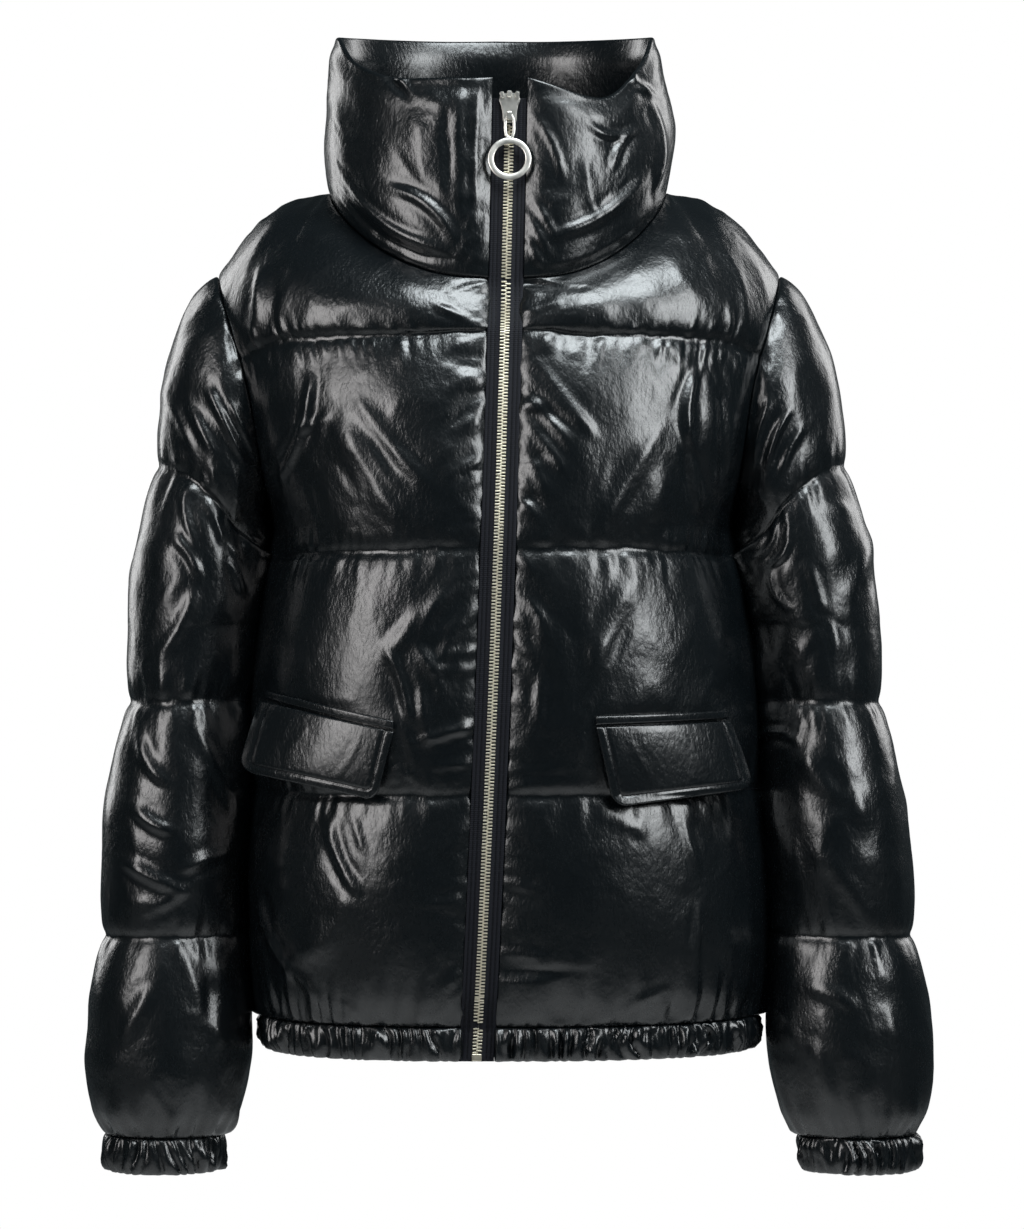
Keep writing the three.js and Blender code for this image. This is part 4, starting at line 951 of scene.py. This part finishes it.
# outer face, rounded top and inner face as one grid, with its holds
def collarSheet(cells):
    wall = garment["wall"]
    rows, holds, slacks = [], [], []

    def add(row, depths, hold, lift=0.0):
        points = [cell["point"] - cell["out"] * depth + Vector((0, 0, lift)) for cell, depth in zip(row, depths)]
        rows.append(points)
        holds.append([1.0, *[hold] * (len(row) - 2), 1.0])
        slacks.append([clamp(0.4 + 0.6 * math.exp(-(cell["fromZip"] / 30) ** 2)) for cell in row])

    add(cells[0], [wall] * len(cells[0]), 1.0)
    for j, row in enumerate(cells):
        add(row, [cell["depth"] + padding["sunk"] * cell["full"] for cell in row], 1.0 if j == 0 else 0.0)
    top = cells[-1]
    for turn in (36, 72, 108, 144):
        a = math.radians(turn)
        depths = []
        for cell in top:
            low, high = cell["depth"] + padding["sunk"] * cell["full"], cell["inner"]
            depths.append((low + high) / 2 - (high - low) / 2 * math.cos(a))
        add(top, depths, 0.15, 2.4 * math.sin(a))
    for j in range(len(cells) - 1, -1, -1):
        row = cells[j]
        if j % 3 and j not in (0, len(cells) - 1):
            continue
        add(row, [cell["inner"] for cell in row], 1.0 if j == 0 else 0.3)
    return [[place(point) for point in row] for row in rows], holds, slacks


collar = dict(count=52, rows=48, seed=33.3, folds=[
        (-121, -6, -12, -64, -13, 3.3, 5), (-112, -1, -28, -50, -12, 3.2, -4.2), (-106, 6, -34, -42, -11, 4.4, 3.6),
        (-74, -2, -30, -38, 8, 6, 3), (-56, 52, -50, -2, 0, 12, 2.6), (-34, 60, -33, -16, 0, 5, -2.4),
        (-15, 74, -15, -22, 0, 2.8, 3.2), (-22, 74, -20, -20, 0, 2.6, -2.2), (-108, 92, -58, 62, 4, 3.4, 4.2),
        (-104, 86, -62, 60, 3, 3, -3), (-112, 60, -106, 6, 3, 9, 2.2), (29, 44, 44, 2, 3, 4.2, 2.6),
        (24, -8, 40, -34, 0, 3.4, 2.6), (22, -22, 36, -48, 0, 3.2, 2.4), (20, -34, 32, -58, 0, 3, 2.6),
        (-16, -30, -30, -52, 0, 3, 2.6), (-14, -18, -26, -36, 0, 3, 2.2), (63, 41, 93, 37, -5.4, 4.2, 2.8),
        (93, 37, 79, 8, -4.1, 4, 2.6), (104, 62, 108, -12, 4, 4.6, 3.6), (92, 84, 110, 60, -3, 3.4, 3.6),
        (100, 6, 34, -34, 8, 6.5, 3), (112, -14, 24, -58, 12, 3.2, -4.2), (120, -20, 22, -67, 13, 3.3, 5),
        (60, 20, 70, -24, -3, 6, 1.8),
])
ts = [i / collar["rows"] for i in range(collar["rows"] + 1)]
collar["cells"] = collarCells(collar["count"], ts, strokes(collar["folds"]), collar["seed"])
rows, holds, slacks = collarSheet(collar["cells"])
collar["piece"] = gridMesh("collar_quilt", rows, dict(hold=holds, slack=slacks))
collarFaces = collar["piece"].data.polygons
foremost = min(collarFaces, key=lambda polygon: polygon.center.y + abs(polygon.center.x) * 3)
if foremost.normal.y > 0:
    collar["piece"].data.flip_normals()
report("collar")


# The gathered bands at the hem and the wrists: a fold of cloth over elastic

# the seam's outer and inner points at even steps along it
def evenRing(cells, step):
    outers = [cell["point"] - cell["out"] * garment["stitchDepth"] for cell in cells]
    inners = [cell["point"] - cell["out"] * garment["wall"] for cell in cells]
    lengths = [0.0]
    for a, b in zip(outers, outers[1:]):
        lengths.append(lengths[-1] + (b - a).length)
    count = round(lengths[-1] / step)
    ring = []
    for k in range(count + 1):
        at = lengths[-1] * k / count
        i = min(len(lengths) - 2, bisect_right(lengths, at) - 1)
        t = (at - lengths[i]) / (lengths[i + 1] - lengths[i])
        ring.append((at, outers[i].lerp(outers[i + 1], t), inners[i].lerp(inners[i + 1], t)))
    return ring, lengths[-1]


# drop down the band, depth below the bulges, share of the gathers
bandProfile = [
    (0.0, 8.4, 0.5), (0.06, 7.6, 0.9), (0.14, 6.9, 1.0), (0.26, 6.3, 1.0), (0.4, 5.9, 1.0), (0.54, 5.7, 1.0),
    (0.68, 5.8, 1.0), (0.8, 6.3, 1.0), (0.9, 7.1, 0.95), (0.97, 8.3, 0.8), (1.0, 9.8, 0.5), (0.97, 11.3, 0.3),
    (0.85, 12.3, 0.1), (0.5, 12.8, 0.0), (0.15, 12.8, 0.0), (0.0, 12.8, 0.0),
]
gathers = dict(pitch=9.0, step=1.1, rise=4.2, uneven=0.8, wander=2.6, fine=0.5, endDeep=10.5, deepest=12.9)


def gatheredBand(name, cells, tall, narrowing, closed, seed):
    ring, length = evenRing(cells, gathers["step"])
    middle = sum((inner for _, _, inner in ring), Vector()) / len(ring)
    folds = round(length / gathers["pitch"])
    rows = []
    for drop, depth, share in [*bandProfile, bandProfile[0]]:
        row = []
        for at, outer, inner in ring:
            out = (outer - inner).normalized()
            apart = clamp(min(at, length - at) / 15) if closed else 1.0
            wander = gathers["wander"] * apart * uneven(at / 21, drop * 0.9, seed)
            phase = math.pi * (at / length * folds + wander * 0.6)
            wave = abs(math.sin(phase)) ** 0.8 - 0.55
            wave += gathers["fine"] * apart * uneven(at / 4.5, drop * 2, seed + 8)
            strength = gathers["rise"] * (1 + gathers["uneven"] * 2 * uneven(at / 11, drop, seed + 5))
            below = depth - strength * wave * share
            if not closed:
                end = clamp(min(at, length - at) / 2.2)
                below = mix(gathers["endDeep"], below, math.sqrt(1 - (1 - end) ** 2))
            below = min(below, gathers["deepest"])
            point = inner.copy()
            point.x = mix(point.x, middle.x, narrowing * drop)
            point.y = mix(point.y, middle.y, narrowing * drop)
            point.z -= tall * drop + (0.8 * share * wave if drop > 0.9 else 0)
            row.append(place(point + out * (garment["wall"] - below)))
        rows.append(row)
    return gridMesh(name, rows, {}, True), length


us = [i / 150 for i in range(151)]
left, right, rearLeft, rearRight = (torsoCells([half], us, [0.0, 0.05], [], 0.0)[0]
                                    for half in (frontLeft, frontRight, backLeft, backRight))
hemCells = left + rearLeft[-2::-1] + rearRight[1:] + right[-2::-1]
for cell in hemCells:
    cell["out"] = Vector((cell["out"].x, cell["out"].y, 0)).normalized()
hemBand, hemLength = gatheredBand("hem_band_cloth", hemCells, garment["hemTall"], 0.012, False, 51.0)
cuffs = []
for sleeve in sleeves:
    node, cells = sleeve["name"].replace("sleeve", "cuff"), sleeve["cells"][-1]
    piece, cuffLength = gatheredBand(node + "_cloth", cells, garment["cuffTall"], 0.03, True, sleeve["seed"])
    cuffs.append((node, piece))
report("bands")


# Pocket flaps and the welts above them, laid on the fronts

def bandPlace(z):
    band = 0 if z < bodyLines[1][0] else 1
    return band + (z - bodyLines[band][0]) / (bodyLines[band + 1][0] - bodyLines[band][0])


def placeAcross(panel, x, v):
    half = sideEdge(panel, v)[0].x
    first = sectionAngle(panelStart(panel, middleZ(v)) / half)
    return (sectionAngle(x / half) - first) / (math.pi / 2 - first)


# the outline point, outward direction and plain depth of a front at one place
def panelSpot(panel, x, z):
    v = bandPlace(z)
    u = placeAcross(panel, x, v)
    step = 0.01
    us, vs = [u - step, u, u + step], [v - step, v, v + step]
    (_, low, _), (left, point, right), (_, high, _) = torsoPoints(panel, us, vs)
    out = (right - left).cross(high - low).normalized()
    if out.y > 0:
        out = -out
    band = max(0, min(3, math.ceil(v) - 1))
    sideShare = mix(garment["sidePull"], 1, ease((v - 1.6) / 0.5))
    pressed = garment["pressed"] * ease((u - 0.75) / 0.25) * ease((2.1 - v) / 0.2)
    full = (1 - (1 - pressed) * bandPull(v - band)) * (1 - edgePull(1 - u, 0.2, sideShare)) * (1 - edgePull(u, 0.22))
    return point, out, (1 - full) * garment["stitchDepth"]


# distances from an edge, close together at both ends for the rounded rim and the topstitching
def edgeSteps(size, spread):
    near = [d for d in (0, 0.25, 0.7, 1.4, 2.6, 4.0, 4.9, 5.5, 6.1, 6.7, 7.6, 9.2) if d < size / 2 - 1]
    count = max(1, round((size - 2 * near[-1]) / spread))
    middle = [mix(near[-1], size - near[-1], (k + 1) / count) for k in range(count - 1)]
    return near + middle + [size - d for d in reversed(near)]


def patchPlace(patch, a, b):
    tops, lows = zip(patch["innerTop"], patch["outerTop"]), zip(patch["innerLow"], patch["outerLow"])
    return [mix(mix(*top, a), mix(*low, a), b) for top, low in zip(tops, lows)]


topstitch = dict(inset=6, dip=0.75, wide=0.9, edgeRise=0.35, edgeReach=5, pucker=0.3, puckerSize=3.2, puckerWide=3)
flapFolds = strokes([(20, 6, 34, 44, 3, 2.6, 1.0), (52, 8, 60, 40, -3, 3.2, 0.9)])


# a flat piece on a front; gives its size and, where it is sewn down, the line of its topstitching
def patchSheet(name, panel, patch, thick, standOff, radius, seed, seam):
    (ax, az), (bx, bz) = patch["innerTop"], patch["outerTop"]
    wide = math.hypot(bx - ax, bz - az)
    tall = (math.dist(patch["innerTop"], patch["innerLow"]) + math.dist(patch["outerTop"], patch["outerLow"])) / 2
    fronts, backs, marks = [], [], {}
    ys, xs = edgeSteps(tall, 2.4), edgeSteps(wide, 2.4)
    for y0 in ys:
        front, back = [], []
        for x0 in xs:
            x, y = x0, y0
            for middle, way in ((radius, -1), (wide - radius, 1)):
                p, q = (x - middle) * way, y - (tall - radius)
                if radius and p > 0 and q > 0:
                    shrink = max(p, q) / math.hypot(p, q)
                    x, y = middle + way * p * shrink, tall - radius + q * shrink
            edge = min(x0, wide - x0, y0, tall - y0)
            stitched = min(x0, wide - x0, tall - y0)
            rim = math.sqrt(max(0.0, 1 - (1 - min(1, edge / (thick * 0.45))) ** 2))
            a, b = x / wide, y / tall
            point, out, depth = panelSpot(panel, *patchPlace(patch, a, b))
            lift = standOff(a, b) - depth + thick / 2
            raised = 0.0
            if seam:
                off = stitched - topstitch["inset"]
                raised = topstitch["edgeRise"] * ease(edge / topstitch["edgeReach"])
                raised -= topstitch["dip"] * math.exp(-(off / topstitch["wide"]) ** 2)
                along = y0 if stitched in (x0, wide - x0) else x0
                pucker = topstitch["pucker"] * uneven(along / topstitch["puckerSize"], 0, seed)
                raised += pucker * math.exp(-(off / topstitch["puckerWide"]) ** 2)
                lift += 0.9 * uneven(x0 / 30, y0 / 26, seed) * b
                raised += 0.7 * foldRise(flapFolds, x0, y0)
            front.append(place(mirrored(point + out * (lift + (thick / 2 + raised) * rim), panel["side"])))
            marks[x0, y0] = (front[-1], mirrored(out, panel["side"]))
            back.append(place(mirrored(point + out * (lift - thick / 2 * rim), panel["side"])))
        fronts.append(front)
        backs.append(back)
    piece = gridMesh(name, fronts + backs[::-1], {}, True)
    seams = []
    if seam:
        near = 6.1
        left, right, low = near, xs[-1 - xs.index(near)], ys[-1 - ys.index(near)]
        seams.append([marks[left, y] for y in ys if 2 < y <= low] + [marks[x, low] for x in xs if left < x < right]
                     + [marks[right, y] for y in reversed(ys) if 2 < y <= low])
    return piece, wide, tall, seams


patches = []
for flap in flaps:
    (ix, iz), (ox, oz) = flap["innerTop"], flap["outerTop"]
    strip = dict(innerTop=(ix, iz + weltTall), innerLow=(ix, iz + 1.5),
                 outerTop=(ox, oz + weltTall), outerLow=(ox, oz + 1.5))
    hanging = lambda a, b: 0.3 + 7 * b + flap["flare"] * a * a * (0.3 + 0.7 * b)
    sewnOn = lambda a, b: 0.5
    for name, patch, thick, standOff, radius, seam in (
            (flap["name"], flap, 2.4, hanging, 9.0, True), (flap["welt"], strip, 2.5, sewnOn, 0.0, False)):
        piece, wide, tall, seams = patchSheet(
            name + "_cloth", flap["panel"], patch, thick, standOff, radius, flap["seed"], seam)
        patches.append(dict(name=name, piece=piece, flat=(wide, tall), seams=seams))
report("flaps")


# The zip: its two tapes, the teeth, the stop at the bottom and the pull

fastener = dict(tapeDepth=9.6, tapeThick=1.5, topZ=53.0, pitch=2.2, toothWide=3.7, toothTall=1.05, toothDeep=1.9,
                lowestTooth=-578.0, highestTooth=33.0)


# the front's edge beside the zip, from the bottom of the hem band to the top of the tape
def frontEdge(panel):
    vs = [i / 40 for i in range(161)]
    body = [row[0] for row in torsoPoints(panel, [0.0], vs)]
    low = body[0] - Vector((0, 0, garment["hemTall"]))
    neck = [collarPoint(panel, 0.0, i / 24) for i in range(1, 24)]
    return [low, *body, *(point for point in neck if point.z < fastener["topZ"])]


def edgeAt(edge, z):
    heights = [point.z for point in edge]
    i = max(0, min(len(edge) - 2, bisect_right(heights, z) - 1))
    t = (z - heights[i]) / (heights[i + 1] - heights[i])
    slope = (edge[i + 1].y - edge[i].y) / (heights[i + 1] - heights[i])
    return mix(edge[i].y, edge[i + 1].y, t), slope


# a place by the zip, across from the teeth's middle and below the bulges, with the way out of the cloth
def besideZip(panel, edge, z, across, depth):
    y, slope = edgeAt(edge, z)
    out = Vector((0, -1, slope)).normalized()
    point = Vector((panel["side"] * zipMiddle(z) + across, y, z)) - out * depth
    return place(mirrored(point, panel["side"])), out


# distance from the teeth's middle, height of the weave above the flat tape
tapeFace = [
    (0.15, -0.2), (0.8, 0.0), (1.8, 0.1), (2.8, 0.55), (3.7, 0.5), (4.4, 0.05), (5.6, 0.0), (6.2, -0.22),
    (6.8, 0.0), (8.4, 0.05), (9.0, -0.18), (9.6, 0.05), (10.6, 0.0), (11.4, 0.0),
]
tapes = []
for panel, name in ((frontRight, "zip_tape_right"), (frontLeft, "zip_tape_left")):
    edge = frontEdge(panel)
    count = round((edge[-1].z - edge[0].z) / 2.4)
    fronts, backs = [], []
    for k in range(count + 1):
        z = mix(edge[0].z + 0.2, edge[-1].z, k / count)
        high, low = fastener["tapeDepth"], fastener["tapeDepth"] + fastener["tapeThick"]
        fronts.append([besideZip(panel, edge, z, across, high - rise)[0] for across, rise in tapeFace])
        backs.append([besideZip(panel, edge, z, across, low)[0] for across, _ in tapeFace])
    loop = [front + back[::-1] + front[:1] for front, back in zip(fronts, backs)]
    tape = gridMesh(name + "_cloth", loop, {}, True)
    faceAwayFrom(tape, bodyMiddle)
    tapes.append((name, tape, edge[-1].z - edge[0].z))


# small blocks from (matrix, size) rows, as one piece
def smallBlocks(name, blocks, bevel):
    made = bmesh.new()
    for matrix, size in blocks:
        bmesh.ops.create_cube(made, size=1, matrix=matrix @ Matrix.Diagonal((*size, 1)))
    if bevel:
        bmesh.ops.bevel(made, geom=made.edges[:], offset=bevel, segments=1, affect="EDGES", profile=0.5)
    return pieceFrom(made, name)


# a place in front of the tape with its slope: across from the teeth's middle, depth below the bulges
def onTape(z, across, depth):
    y, slope = edgeAt(leftEdge, z)
    out = Vector((0, -1, slope)).normalized()
    point = place(Vector((zipMiddle(z) + across, y, z)) - out * depth)
    return Matrix.Translation(point) @ Matrix.Rotation(math.atan(slope), 4, "X")


# places at even steps along a line of points, each with the line's direction
def alongLine(points, pitch):
    places, carried = [], pitch / 2
    for a, b in zip(points, points[1:]):
        size = (b - a).length
        while carried <= size:
            places.append((a.lerp(b, carried / size), (b - a).normalized()))
            carried += pitch
        carried -= size
    return places


thread = dict(pitch=3.3, long=2.5, wide=0.55, deep=0.45)


# blocks for the stitches of several lines of (point, outward direction) in metres
def stitches(lines):
    blocks = []
    size = (thread["long"] * mm, thread["wide"] * mm, thread["deep"] * mm)
    for line in lines:
        points = [point for point, _ in line]
        for spot, along in alongLine(points, thread["pitch"] * mm):
            nearest = min(range(len(points)), key=lambda k: (points[k] - spot).length_squared)
            out = line[nearest][1]
            out = (out - along * out.dot(along)).normalized()
            turn = Matrix((along, out.cross(along), out)).transposed().to_4x4()
            blocks.append((Matrix.Translation(spot) @ turn, size))
    return blocks


def quiltLine(row):
    return [(place(cell["point"] - cell["out"] * (cell["depth"] - 0.1)), cell["out"]) for cell in row]


seamLines = []
for quilted, counts in ((panels, bandCounts), (sleeves, sleeveCounts)):
    for item in quilted:
        seamLines += [quiltLine(item["cells"][sum(counts[:k])]) for k in (1, 2, 3)]
for panel in (frontRight, frontLeft):
    edge = frontEdge(panel)
    for across in (6.2, 9.0):
        heights = [mix(edge[0].z + 2, edge[-1].z - 2, k / 109) for k in range(110)]
        seamLines.append([besideZip(panel, edge, z, across, fastener["tapeDepth"] - 0.05) for z in heights])
for patch in patches:
    seamLines += patch["seams"]
threadPiece = smallBlocks("stitches", stitches(seamLines), 0)
report("stitches")

leftEdge = frontEdge(frontLeft)
teeth = []
toothSize = (fastener["toothWide"] * mm, fastener["toothDeep"] * mm, fastener["toothTall"] * mm)
count = int((fastener["highestTooth"] - fastener["lowestTooth"]) / fastener["pitch"] * 2)
for k in range(count):
    z = fastener["lowestTooth"] + k * fastener["pitch"] / 2
    side = 1 if k % 2 else -1
    teeth.append((onTape(z, side * 1.3, fastener["tapeDepth"] - 0.35), toothSize))


# a closed bar along a loop of (x, y) in its own plane, with a softly squared section of half sizes
def sweptLoop(name, path, half, steps, basis):
    rows = []
    count = len(path)
    for k in range(count + 1):
        here, ahead, before = path[k % count], path[(k + 1) % count], path[k - 1 if k else -1]
        along = Vector((ahead[0] - before[0], ahead[1] - before[1])).normalized()
        across = Vector((along.y, -along.x))
        row = []
        for s in range(steps + 1):
            a = 2 * math.pi * s / steps
            p, q = half[0] * signedPower(math.cos(a), 0.6), half[1] * signedPower(math.sin(a), 0.6)
            row.append(basis @ (Vector((here[0] + across.x * p, here[1] + across.y * p, q)) * mm))
        rows.append(row)
    return gridMesh(name, rows, {}, True)


pull = dict(hinge=(8.233, -96.418, 36.193), ringCentre=(8.233, -101.096, 7.573), ringMiddle=12.35,
            ringHalf=(2.05, 0.9), eyeWide=2.9, eyeTall=7.6, eyeHalf=(1.0, 0.85))
hinge, ringCentre = Vector(pull["hinge"]), Vector(pull["ringCentre"])
hang = (ringCentre - hinge).normalized()
plane = Matrix((Vector((1, 0, 0)), -hang, Vector((1, 0, 0)).cross(-hang))).transposed().to_4x4()
ringFrame = Matrix.Translation(ringCentre * mm) @ plane
eyeMiddle = hinge + hang * (pull["eyeTall"] - 0.4)
eyeFrame = Matrix.Translation(eyeMiddle * mm) @ plane
ringPath = [(pull["ringMiddle"] * math.cos(a), pull["ringMiddle"] * math.sin(a))
            for a in (2 * math.pi * k / 72 for k in range(72))]
eyePath = [(pull["eyeWide"] * signedPower(math.cos(a), 0.8), pull["eyeTall"] * signedPower(math.sin(a), 0.8))
           for a in (2 * math.pi * (k + 0.5) / 48 for k in range(48))]
ring = sweptLoop("pull_ring", ringPath, pull["ringHalf"], 16, ringFrame)
eye = sweptLoop("pull_eye", eyePath, pull["eyeHalf"], 12, eyeFrame)
faceAwayFrom(eye, eyeMiddle)
pullPiece = joined("zip_pull_metal", [ring, eye])
made = bmesh.new()
made.from_mesh(pullPiece.data)
bmesh.ops.recalc_face_normals(made, faces=made.faces[:])
made.to_mesh(pullPiece.data)
made.free()
teethPiece = smallBlocks("zip_teeth", teeth, 0.00022)
stopSize = (0.0064, 0.0026, 0.0046)
stopPiece = smallBlocks("zip_stop", [(onTape(-581.2, 0, fastener["tapeDepth"] - 0.5), stopSize)], 0.0004)
# the slider's crown: three short lugs along its top edge, as (across, lean in degrees, width)
crown = []
for across, lean, wide in ((-4.9, -14, 2.9), (0, 0, 3.4), (4.9, 14, 2.9)):
    middle = Matrix.Translation(Vector((8.23 + across, -93.6, 50.9 - abs(across) * 0.12)) * mm)
    crown.append((middle @ Matrix.Rotation(math.radians(lean), 4, "Y"), (wide * mm, 3.4 * mm, 4.6 * mm)))
crownPiece = smallBlocks("slider_crown", crown, 0.0007)
report("zip")

quilts = [panel["piece"] for panel in panels] + [sleeve["piece"] for sleeve in sleeves] + [collar["piece"]]
swell(quilts)
for piece in quilts:
    refined(piece)
report("refined")


# Shader maths

# a socket of a node tree that can be added to, multiplied and so on
class Sum:
    tree = None

    def __init__(self, socket):
        self.socket = socket

    @classmethod
    def maths(cls, kind, *values):
        made = cls.tree.nodes.new("ShaderNodeMath")
        made.operation = kind
        for slot, value in zip(made.inputs, values):
            cls.put(slot, value)
        return cls(made.outputs[0])

    @classmethod
    def put(cls, slot, value):
        if isinstance(value, Sum):
            cls.tree.links.new(value.socket, slot)
        else:
            slot.default_value = value

    @classmethod
    def node(cls, kind, settings=None, output=0, **values):
        made = cls.tree.nodes.new(kind)
        for name, value in (settings or {}).items():
            setattr(made, name, value)
        for name, value in values.items():
            cls.put(made.inputs[name.replace("_", " ")], value)
        return cls(made.outputs[output])

    def __add__(self, other):
        return Sum.maths("ADD", self, other)

    def __mul__(self, other):
        return Sum.maths("MULTIPLY", self, other)


# a material with its plain values set; gives the shader and a position to vary it by
def newMaterial(name, **values):
    material = bpy.data.materials.new(name)
    material.use_nodes = True
    Sum.tree = material.node_tree
    shader = material.node_tree.nodes["Principled BSDF"]
    for key, value in values.items():
        shader.inputs[key.replace("_", " ")].default_value = value
    at = Sum.node("ShaderNodeTexCoord", output="Object")
    return material, shader, at


def spots(at, scale, detail=3.0, rough=0.5):
    return Sum.node("ShaderNodeTexNoise", Vector=at, Scale=scale, Detail=detail, Roughness=rough)


glossyBlack = dict(colour=(0.0022, 0.0036, 0.0046, 1), rough=0.17, crinkle=560, creases=180, dents=46, ridges=58)


# coated cloth: a smooth film that lies over soft dents, short creases and a fine crinkle
def shellMaterial(name, look=glossyBlack):
    material, shader, at = newMaterial(name, Base_Color=look["colour"], IOR=1.5, Coat_Weight=0.5, Coat_Roughness=0.2)
    stretched = Sum.node("ShaderNodeMapping", Vector=at, Scale=(1.0, 1.0, 0.55), Rotation=(0.0, 0.5, 0.0))
    fine = spots(stretched, look["crinkle"], 2.0)
    creases = spots(stretched, look["creases"], 3.0, 0.6)
    dents = spots(at, look["dents"], 3.0, 0.55)
    cloud = spots(at, 20, 2.0)
    Sum.put(shader.inputs["Roughness"], cloud * 0.14 + fine * 0.1 + (look["rough"] - 0.02))
    ridges = Sum.node("ShaderNodeTexNoise", dict(noise_type="RIDGED_MULTIFRACTAL"), Vector=stretched,
                      Scale=look["ridges"], Detail=3.0, Roughness=0.5)
    height = dents * 0.42 + creases * 0.3 + fine * 0.19 + ridges * 0.13
    bump = Sum.node("ShaderNodeBump", Height=height, Strength=1.0, Distance=0.0014)
    Sum.put(shader.inputs["Normal"], bump)
    return material


def finished(piece, node, material, body="jacket"):
    piece.data.materials.clear()
    piece.data.materials.append(material)
    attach(piece, body)
    if node:
        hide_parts(node)


shell = shellMaterial("coated shell")
bodies = {}
for item in panels + sleeves:
    inner = liningSheet(item["name"] + "_inner", item["cells"], item in sleeves)
    faceAwayFrom(inner, item.get("middle", bodyMiddle))
    inner.data.flip_normals()
    bodies[item["name"]] = joined(item["name"] + "_cloth", [item["piece"], inner])
bodies["collar"] = collar["piece"]
for node, piece in bodies.items():
    finished(piece, node, shell)
report("cloth pieces")


def frontOf(node):
    return "front_right" if "right" in node else "front_left"


def gatheredSheet(piece, node, length):
    finished(piece, node, shell)
    length * gatherShare * mm


gatheredSheet(hemBand, "hem_band", hemLength)
for node, piece in cuffs:
    gatheredSheet(piece, node, cuffLength)
for patch in patches:
    finished(patch["piece"], patch["name"], shell)
    wide, tall = patch["flat"]
    tall = max(tall, 10.0)  # a welt is cut twice as tall and folded
    wide * mm
    tall * mm
    frontOf(patch["name"])


def tapeMaterial():
    material, shader, at = newMaterial("woven tape", Base_Color=(0.0022, 0.003, 0.0065, 1), Roughness=0.7,
                                       Specular_IOR_Level=0.25)
    ribs = Sum.node("ShaderNodeTexWave", dict(wave_type="BANDS", bands_direction="Z"), Vector=at,
                    Scale=240.0, Distortion=0.6)
    bump = Sum.node("ShaderNodeBump", Height=ribs, Strength=0.5, Distance=0.0002)
    Sum.put(shader.inputs["Normal"], bump)
    return material


def nickelMaterial(name, colour, rough):
    material, shader, at = newMaterial(name, Base_Color=(*colour, 1), Metallic=1.0)
    Sum.put(shader.inputs["Roughness"], spots(at, 260, 2.0) * 0.22 + rough)
    return material


weave = tapeMaterial()
for node, piece, tall in tapes:
    finished(piece, node, weave)
    tall * mm
    frontOf(node)
toothMetal = nickelMaterial("zip metal", (0.74, 0.69, 0.56), 0.32)
pullMetal = nickelMaterial("pull metal", (0.78, 0.76, 0.71), 0.27)
for piece in (teethPiece, stopPiece):
    finished(piece, None, toothMetal)
threadBlack, _, _ = newMaterial("thread", Base_Color=(0.003, 0.0035, 0.005, 1), Roughness=0.6,
                                Specular_IOR_Level=0.15)
finished(threadPiece, None, threadBlack)
finished(crownPiece, None, pullMetal)
for spot in bpy.data.objects["zip_slider"].material_slots:
    spot.material = pullMetal
finished(pullPiece, "zip_pull", pullMetal, "zip_pull")
report("small pieces")


# Floor, light and camera

def plainBoard(name, size, at, colour):
    made = bmesh.new()
    bmesh.ops.create_grid(made, x_segments=1, y_segments=1, size=size)
    board = pieceFrom(made, name)
    board.data.transform(Matrix.Translation(at))
    material, _, _ = newMaterial(name, Base_Color=(*colour, 1), Roughness=0.7)
    board.data.materials.append(material)
    return board


floor = plainBoard("floor", 4.2, Vector((0, 0, -1.45)), (0.88, 0.88, 0.88))

# white seen straight, dim in reflections, so that the black film stays black between the soft boxes
world = bpy.data.worlds.new("studio")
bpy.context.scene.world = world
world.use_nodes = True
Sum.tree = world.node_tree
surroundings = world.node_tree.nodes["Background"]
isSeen = Sum.node("ShaderNodeLightPath", output="Is Camera Ray")
Sum.put(surroundings.inputs["Strength"], isSeen * 0.965 + 0.035)
tint = Sum.node("ShaderNodeMix", dict(data_type="RGBA"), output=2)
mixer = tint.socket.node
Sum.put(mixer.inputs[0], isSeen)
mixer.inputs[6].default_value = (0.72, 0.92, 1.0, 1)
mixer.inputs[7].default_value = (1.0, 1.0, 1.0, 1)
Sum.put(surroundings.inputs["Color"], tint)


# a rectangular light that stands off the middle of the garment and faces it
def softBox(name, angle, rise, distance, size, power, colour=(1, 1, 1)):
    data = bpy.data.lights.new(name, "AREA")
    data.shape = "RECTANGLE"
    data.size, data.size_y = size
    data.energy = power
    data.color = colour
    data.spread = math.radians(110)
    lamp = bpy.data.objects.new(name, data)
    bpy.context.scene.collection.objects.link(lamp)
    turn, lift = math.radians(angle), math.radians(rise)
    away = Vector((math.sin(turn) * math.cos(lift), -math.cos(turn) * math.cos(lift), math.sin(lift)))
    facing = (-away).to_track_quat("-Z", "Y").to_matrix().to_4x4()
    lamp.matrix_world = Matrix.Translation(bodyMiddle * mm + away * distance) @ facing


softBox("box on the left", -47, 16, 2.3, (0.8, 1.5), 9, (1.0, 0.975, 0.97))
softBox("box on the right", 50, 24, 2.3, (0.8, 1.5), 13, (0.95, 0.985, 1.0))
softBox("box above", 25, 62, 2.0, (1.2, 0.8), 15, (0.9, 0.97, 1.0))
softBox("box behind on the left", -135, 18, 2.4, (0.8, 1.7), 4.5)
softBox("box behind on the right", 133, 24, 2.4, (0.8, 1.7), 4.5)

scene = bpy.context.scene
scene.view_settings.view_transform = "Standard"

camera = bpy.data.objects.new("camera", bpy.data.cameras.new("camera"))
bpy.context.scene.collection.objects.link(camera)
camera.data.sensor_fit = "VERTICAL"
camera.data.sensor_height = 36
camera.data.lens = 129.2
camera.location = (viewpoint["x"] * mm, -viewpoint["away"] * mm, viewpoint["z"] * mm)
camera.rotation_euler = (math.pi / 2, 0, 0)
camera.data.dof.use_dof = False
bpy.context.scene.camera = camera
report("stage")
